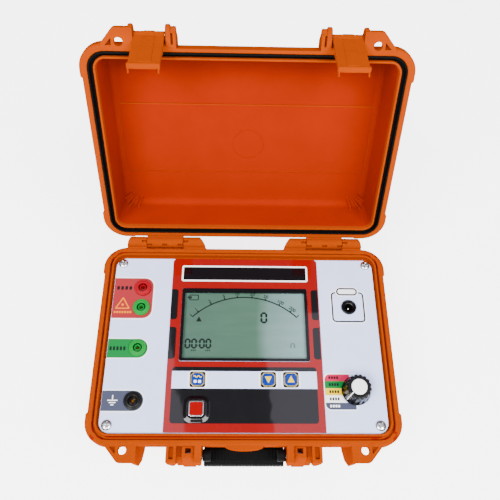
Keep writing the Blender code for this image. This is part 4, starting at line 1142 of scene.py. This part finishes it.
def make_display():
    """Liquid crystal panel with its figures, dark frame and clear window."""
    low, high = LCD_TOP - 0.02, LCD_TOP + 0.05
    x_low, x_high, y_low, y_high = WINDOW[:4]
    box = extent("lcd_panel")
    lay("lcd_glass", prism(rectangle(*box[:4], 0.8), box[4], box[5], edge=0.2), "lcd",
        nodes=("lcd_panel",))
    bpy.data.objects["lcd_backlight"].data.materials[0] = MAT["light"]
    view = rectangle(x_low + 2.4, x_high - 2.4, y_low + 2.4, y_high - 3.6, 0.8)
    opening = rectangle(*grown(WINDOW[:4], -1.85), 0.5)
    lay("lcd_bezel", band(opening, view, LCD_TOP + 0.1, 86.0), "black")

    def flat(x_low, x_high, y_low, y_high, radius=0.3):
        """Small dark area of the display, y measured from the front of the case."""
        return prism(rectangle(x_low, x_high, FRONT + y_low, FRONT + y_high, radius), low, high)

    def spoke(angle, reach, width):
        """Line that runs out from the arc."""
        return stroke([on_scale(angle, SCALE_RADIUS - 0.2), on_scale(angle, SCALE_RADIUS + reach)],
                      width, low, high)

    shapes = [stroke([on_scale(angle, SCALE_RADIUS) for angle in
                      [-SCALE_END + 2 * SCALE_END * step / 60 for step in range(61)]],
                     1.2, low, high)]
    shapes += [spoke(angle, 1.9, 1.2) for angle in SCALE_TICKS]
    shapes += [spoke(angle, 3.6, 0.85) for angle in (-SCALE_END, SCALE_END)]
    shapes += [digits(text, on_scale(angle, SCALE_RADIUS + 3.7), low, high, -angle)
               for text, angle in zip(("1", "2", "5", "10", "20", "50", "100", "200"),
                                      SCALE_TICKS)]
    x, y = -44.2, FRONT + 117.3
    shapes.append(prism([(x - 2.8, y - 2.4), (x + 2.8, y - 2.4), (x, y + 2.9)], low, high))
    battery = (-54.6, -45.2, FRONT + 136.8, FRONT + 142.8)
    shapes.append(band(rectangle(*battery, 1.2), rectangle(*grown(battery, -0.9), 0.5), low, high))
    shapes.append(flat(-56.0, -54.6, 138.8, 140.8))
    shapes.append(flat(-53.6, -52.0, 138.6, 141.0))
    shapes += segment_nought(16.3, FRONT + 114.4, 4.8, 9.4, 2.1, low, high)
    for x in (-56.0, -49.9, -42.4, -36.3):
        shapes += segment_nought(x, FRONT + 88.8, 3.9, 8.2, 1.75, low, high)
    shapes += [prism(circle(-44.2, FRONT + y, 0.55, 12), low, high) for y in (91.2, 94.6)]
    shapes += [flat(x, x + 1.1, 85.6, 87.0) for x in (-50.6, -48.9, -47.2, -37.0, -35.3, -33.6)]
    lay("lcd_figures", merged(*shapes), "segment")
    ohm_x = 45.8
    ohm = arc(ohm_x, FRONT + 91.4, 1.9, -55, 235, 20)
    shapes = [stroke(ohm, 0.9, low, high)]
    shapes += [stroke([ohm[index], (ohm_x + side * 2.3, ohm[index][1])], 0.9, low, high)
               for index, side in ((0, 1), (-1, -1))]
    lay("lcd_unit_mark", merged(*shapes), "faint_segment")
    pane = rectangle(*WINDOW[:4], 1.5)
    lay("window_pane", prism(pane, WINDOW[4], WINDOW[5], edge=0.15), "glass",
        nodes=("display_window",))
    clear = rectangle(x_low + 2.5, x_high - 2.5, y_low + 2.5, y_high - 3.7, 0.6)
    lay("window_border", band(pane, clear, WINDOW[5] - 0.01, WINDOW[5] + 0.05), "black_film")


# ---------------------------------------------------------------- keys
def make_key(name, mark):
    """Small key: dark cap edge, gilt rim and a raised blue face."""
    x, y = KEYS[name]
    body = name.replace("_key", "_button")
    top = extent(name)[5]
    half = KEY_SIZE / 2
    cap = prism(rectangle(*around(x, y, half), 2.2), 83.9, top - 0.5, edge=0.3)
    lay(f"{name}_cap", cap, "black", body, (name,))
    cut_corner = 2.6
    outer, inner = half - 0.35, half - 1.35

    def octagon(size, corner):
        """Square with cut corners."""
        return [(x + a, y + b) for a, b in (
            (size, -size + corner), (size, size - corner), (size - corner, size),
            (-size + corner, size), (-size, size - corner), (-size, -size + corner),
            (-size + corner, -size), (size - corner, -size))]
    lay(f"{name}_rim", band(octagon(outer, cut_corner), octagon(inner, cut_corner * 0.8),
                            top - 0.6, top - 0.15, 0.1), "gilt", body)
    face = inner - 0.25
    rows = ((face, 1.6, top - 0.7), (face, 1.6, top - 0.25), (face - 0.9, 1.2, top - 0.02))
    shape = loft([[(a, b, level) for a, b in octagon(size, corner)]
                  for size, corner, level in rows])
    lay(f"{name}_face", eased(shape, 0.12, 2, 20), "blue", body)
    low, high = top - 0.04, top
    if mark == "mode":
        wave = [(x + 3.6 * (2 * t - 1), y + 2.4 + 0.75 * math.sin(4 * math.pi * t))
                for t in [step / 24 for step in range(25)]]
        lay(f"{name}_wave", stroke(wave, 0.9, low, high), "yellow_ink", body)
        squares = [prism(rectangle(x + dx - 1.3, x + dx + 1.3, y - 3.4, y - 0.9, 0.4), low, high)
                   for dx in (-2.0, 2.0)]
        lay(f"{name}_squares", merged(*squares), "white_ink", body)
        return
    flip = 1 if mark == "up" else -1
    points = rounded([(x - 3.3, y - flip * 2.7, 0.6), (x + 3.3, y - flip * 2.7, 0.6),
                      (x, y + flip * 3.6, 0.6)], True)
    lay(f"{name}_arrow", prism(points, low, high), "yellow_ink", body)


def make_keys():
    """All four keys and the raised surround of the test key."""
    for name, mark in (("mode_key", "mode"), ("down_key", "down"), ("up_key", "up")):
        make_key(name, mark)
    x, y = KEYS["test_key"]
    top = extent("test_key")[5]
    half = KEY_SIZE / 2
    shell = prism(rectangle(*around(x, y, half), 2.6, 8), 83.9, top - 0.5, edge=0.5)
    lay("test_key_shell", shell, "chrome", "test_button", ("test_key",))
    cap = prism(rectangle(*around(x, y, half - 1.0), 1.7, 8), top - 1.2, top, edge=0.5)
    lay("test_key_face", cap, "test_red", "test_button")
    rings = []
    for level, grow, radius in ((86.72, 5.4, 7.6), (87.0, 4.3, 6.9), (87.6, 3.2, 6.0),
                                (88.1, 1.9, 4.6), (88.2, 1.0, 3.4), (88.0, 0.5, 2.9),
                                (87.4, 0.4, 2.8), (86.72, 0.4, 2.8)):
        rings.append([(a, b, level) for a, b in
                      rectangle(*around(x, y, half + grow), radius, 10)])
    lay("test_key_collar", loft(rings, True), "black_film",
        nodes=("test_key_surround",))


# ---------------------------------------------------------------- sockets, selector, screws
def make_socket(name, y, finish):
    """Insulated socket: flange with a raised collar, post and sprung brass contact."""
    place = (SOCKET_X, y)
    low = PANEL_TOP + 0.02
    top = extent(f"{name}_socket")[5]
    profile = [(6.2, 60.0), (6.2, low)]
    profile += softened((8.25, low, 0), (8.25, top - 1.1, 0.5), (7.5, top - 0.5, 0.5),
                        (6.3, top - 0.6, 0.3), (5.9, top - 0.2, 0.3), (5.4, top, 0.3),
                        (4.5, top, 0.3), (4.1, top - 0.5, 0.3), (3.95, 70.0, 0))
    profile += [(3.95, 62.0), (1.8, 62.0), (1.8, 60.0)]
    lay(f"{name}_jack", turned(profile, place), finish, nodes=(f"{name}_socket",))
    sleeve = softened((3.95, 66.0, 0), (3.9, top - 1.0, 0.1), (3.5, top - 0.8, 0.1),
                      (3.45, 66.0, 0))
    lay(f"{name}_jack_liner", turned([(3.95, 62.1), *sleeve, (3.45, 62.1)], place), "black")
    post = [(2.1, 82.0), (3.0, 82.0)]
    post += softened((3.0, 82.1, 0), (3.0, top - 1.0, 0.4), (2.1, top - 1.0, 0.4), (2.1, 82.1, 0))
    lay(f"{name}_jack_post", turned(post, place, 48), finish)
    contact = [(0.0, 54.0), (1.5, 54.0), (1.5, 62.4), (3.3, 62.4), (3.3, 81.9), (2.05, 81.9),
               (2.05, 65.0), (0.0, 65.0)]
    lay(f"{name}_jack_contact", turned(contact, place, 32), "brass",
        nodes=(f"{name}_contact",))


def make_charge_socket():
    """Round charging socket with a dished face and centre pin."""
    low = PANEL_TOP + 0.02
    top = extent("charge_socket")[5]
    profile = [(5.5, 66.0), (5.5, low)]
    profile += softened((7.4, low, 0), (7.4, top - 0.5, 0.4), (6.8, top, 0.4), (6.2, top, 0.3),
                        (4.6, top - 1.6, 0.6), (3.75, top - 2.0, 0.3), (3.7, 80.0, 0))
    profile += [(3.7, 70.0), (1.3, 70.0), (1.3, 66.0)]
    lay("charge_inlet", turned(profile, CHARGE_PLACE), "black",
        nodes=("charge_socket",))
    pin = [(0.0, 62.0), (1.0, 62.0), (1.0, 82.2), (0.8, 82.8), (0.4, 83.0), (0.0, 83.0)]
    lay("charge_contact", turned(pin, CHARGE_PLACE, 24), "steel",
        nodes=("charge_pin",))


KNOB_FLUTES = 16


def make_selector():
    """Fluted black knob with a bright cap and a white pointer line."""
    x, y = SELECTOR_PLACE
    low, high = extent("selector_knob")[4:6]
    radius = 13.3
    rows = ((radius, 0.0, low), (radius, 0.0, low + 1.9), (radius - 0.3, 0.15, low + 2.4),
            (radius - 0.7, 0.9, low + 3.1), (radius - 1.8, 1.0, high - 1.6),
            (radius - 2.2, 0.8, high - 0.7), (radius - 3.0, 0.4, high - 0.1),
            (radius - 3.8, 0.0, high))
    rings = []
    for size, depth, level in rows:
        ring = []
        for step in range(KNOB_FLUTES * 10):
            angle = 2 * math.pi * step / (KNOB_FLUTES * 10)
            dip = depth * max(0.0, math.cos(KNOB_FLUTES * angle)) ** 0.7
            ring.append((x + (size - dip) * math.cos(angle), y + (size - dip) * math.sin(angle),
                         level))
        rings.append(ring)
    knob = cut(loft(rings), cylinder((x, y), 9.2, low - 1.0, 90.0),
               cylinder((x, y), 3.2, 89.0, 99.5), cylinder((x, y), 7.3, high - 1.2, high + 1.0))
    make_piece("knob_skirt", knob, MAT["knob"], "selector", ("selector_knob",))
    profile = softened((7.0, high - 0.9, 0), (7.0, high + 0.5, 0.4), (6.3, high + 1.1, 0.5),
                       (5.6, high + 0.95, 0.3), (0.0, high + 1.15, 0))
    lay("knob_cap", turned([(0.0, high - 0.9), *profile], SELECTOR_PLACE), "satin", "selector",
        ("selector_cap",))
    direction = math.radians(222.0)
    along = Vector((math.cos(direction), math.sin(direction), 0.0))
    side = Vector((-along.y, along.x, 0.0)) * 0.48
    inwards = Vector((0.0, 0.0, -0.6)) - along * 0.9
    line = []
    for reach, level in ((7.5, high + 0.02), (radius - 3.3, high + 0.02),
                         (radius - 1.55, high - 1.5), (radius - 0.6, low + 3.2)):
        point = Vector((x, y, level)) + along * reach
        line.append([point - side, point + side, point + side + inwards, point - side + inwards])
    make_piece("knob_pointer", loft(line), MAT["white_ink"], "selector")


def make_screws():
    """Pan-head panel screws with crossed recesses."""
    head = 4.65
    for number in SCREWS:
        node = f"panel_screw_{number}"
        place = centre(node)
        top = extent(node)[5]
        low = PANEL_TOP + 0.02
        profile = [(0.0, 66.0), (1.6, 66.0), (1.6, low), (head, low), (head, low + 0.7)]
        profile += [(head * math.cos(a), low + 0.7 + (top - low - 0.7) * math.sin(a))
                    for a in [math.pi / 2 * step / 8 for step in range(1, 9)]]
        profile[-1] = (0.0, top)
        turn = Matrix.Translation((*place, 0.0)) @ Matrix.Rotation(0.5 + number, 4, "Z")
        slots = [prism(rectangle(-3.0, 3.0, -0.62, 0.62, 0.4), top - 1.9, top + 1.0),
                 prism(rectangle(-0.62, 0.62, -3.0, 3.0, 0.4), top - 1.9, top + 1.0)]
        for slot in slots:
            bmesh.ops.transform(slot, matrix=turn, verts=slot.verts)
        lay(f"corner_screw_{number}", cut(turned(profile, place, 48), *slots), "chrome",
            nodes=(node,))


# ---------------------------------------------------------------- what stays as it is
KEPT = {"steel": ("hinge_pin_left", "hinge_pin_right", "line_nut", "check_nut", "guard_nut",
                  "earth_nut", "charge_nut", "selector_nut", "selector_shaft", "battery_strap"),
        "black": ("mode_key_switch", "down_key_switch", "up_key_switch", "test_key_switch",
                  "rotary_switch", "battery_pack"),
        "board": ("main_board",), "grey": ("high_voltage_module",),
        "brass": ("standoff_1", "standoff_2", "standoff_3", "standoff_4")}


def finish_kept_nodes():
    """Give every CAD node that still shows its procedural material."""
    for finish, nodes in KEPT.items():
        for node in nodes:
            bpy.data.objects[node].data.materials.clear()
            bpy.data.objects[node].data.materials.append(MAT[finish])


make_base()
make_lid()
make_catches()
make_handle()
make_panel()
make_overlay_print()
make_labels()
make_right_print()
make_display()
make_keys()
for socket_name, socket_y, socket_finish in SOCKETS:
    make_socket(socket_name, socket_y, socket_finish)
make_charge_socket()
make_selector()
make_screws()
finish_kept_nodes()


# ---------------------------------------------------------------- floor, light, camera
def make_stage():
    """Pale floor, dim world and soft lights."""
    floor_nodes = Nodes("floor", (0.9, 0.9, 0.9), 0.6, Emission_Color=(1.0, 1.0, 1.0, 1.0),
                        Emission_Strength=3.6)
    floor_nodes.drive(Base_Color=floor_nodes.ramp(
        floor_nodes.noise(6.0), (0.3, (0.88, 0.88, 0.88)), (0.7, (0.92, 0.92, 0.92))))
    mesh = bpy.data.meshes.new("floor")
    shape = bmesh.new()
    bmesh.ops.create_grid(shape, x_segments=2, y_segments=2, size=4.0)
    shape.to_mesh(mesh)
    shape.free()
    mesh.materials.append(floor_nodes.material)
    floor = bpy.data.objects.new("floor", mesh)
    floor.location = (0.0, 0.0, -0.0005)
    bpy.context.scene.collection.objects.link(floor)
    world = bpy.data.worlds.new("studio")
    world.use_nodes = True
    background = world.node_tree.nodes["Background"]
    background.inputs["Color"].default_value = (1.0, 1.0, 1.0, 1.0)
    background.inputs["Strength"].default_value = 0.3
    bpy.context.scene.world = world
    for name, place, size, turn_deg, power in (
            ("left_softbox", (-0.71, 0.26, 1.50), (1.0, 0.80), 12.0, 4.0),
            ("right_softbox", (0.62, 0.20, 1.50), (1.0, 0.80), 7.0, 4.0),
            ("front_left", (-0.74, -0.74, 1.65), (1.1, 0.8), None, 64.0),
            ("front_right", (0.74, -0.74, 1.65), (1.1, 0.8), None, 58.0)):
        data = bpy.data.lights.new(name, "AREA")
        data.shape = "RECTANGLE"
        data.size, data.size_y = size
        data.energy = power
        data.color = (0.88, 0.85, 1.0) if turn_deg is not None else (1.0, 1.0, 1.0)
        light = bpy.data.objects.new(name, data)
        light.location = place
        if turn_deg is None:
            light.rotation_euler = (Vector((0.0, 0.05, 0.1)) - Vector(place)).to_track_quat(
                "-Z", "Y").to_euler()
        else:
            light.rotation_euler = (0.0, 0.0, math.radians(turn_deg))
        bpy.context.scene.collection.objects.link(light)


CAMERA_PLACE = (-0.00812, -0.16668, 0.60111)
CAMERA_LENS = 40.61
CAMERA_ROLL_DEG = 3.17
CAMERA_TILT_DEG = 63.05
CAMERA_HEADING_DEG = -2.93


def make_camera():
    """Camera above and in front of the case, looking steeply down."""
    data = bpy.data.cameras.new("camera")
    data.sensor_width = 36.0
    data.lens = CAMERA_LENS
    camera = bpy.data.objects.new("camera", data)
    turn = (Matrix.Rotation(math.radians(CAMERA_HEADING_DEG), 4, "Z")
            @ Matrix.Rotation(math.radians(90.0 - CAMERA_TILT_DEG), 4, "X")
            @ Matrix.Rotation(math.radians(CAMERA_ROLL_DEG), 4, "Z"))
    camera.matrix_world = Matrix.Translation(CAMERA_PLACE) @ turn
    bpy.context.scene.collection.objects.link(camera)
    bpy.context.scene.camera = camera


make_stage()
make_camera()
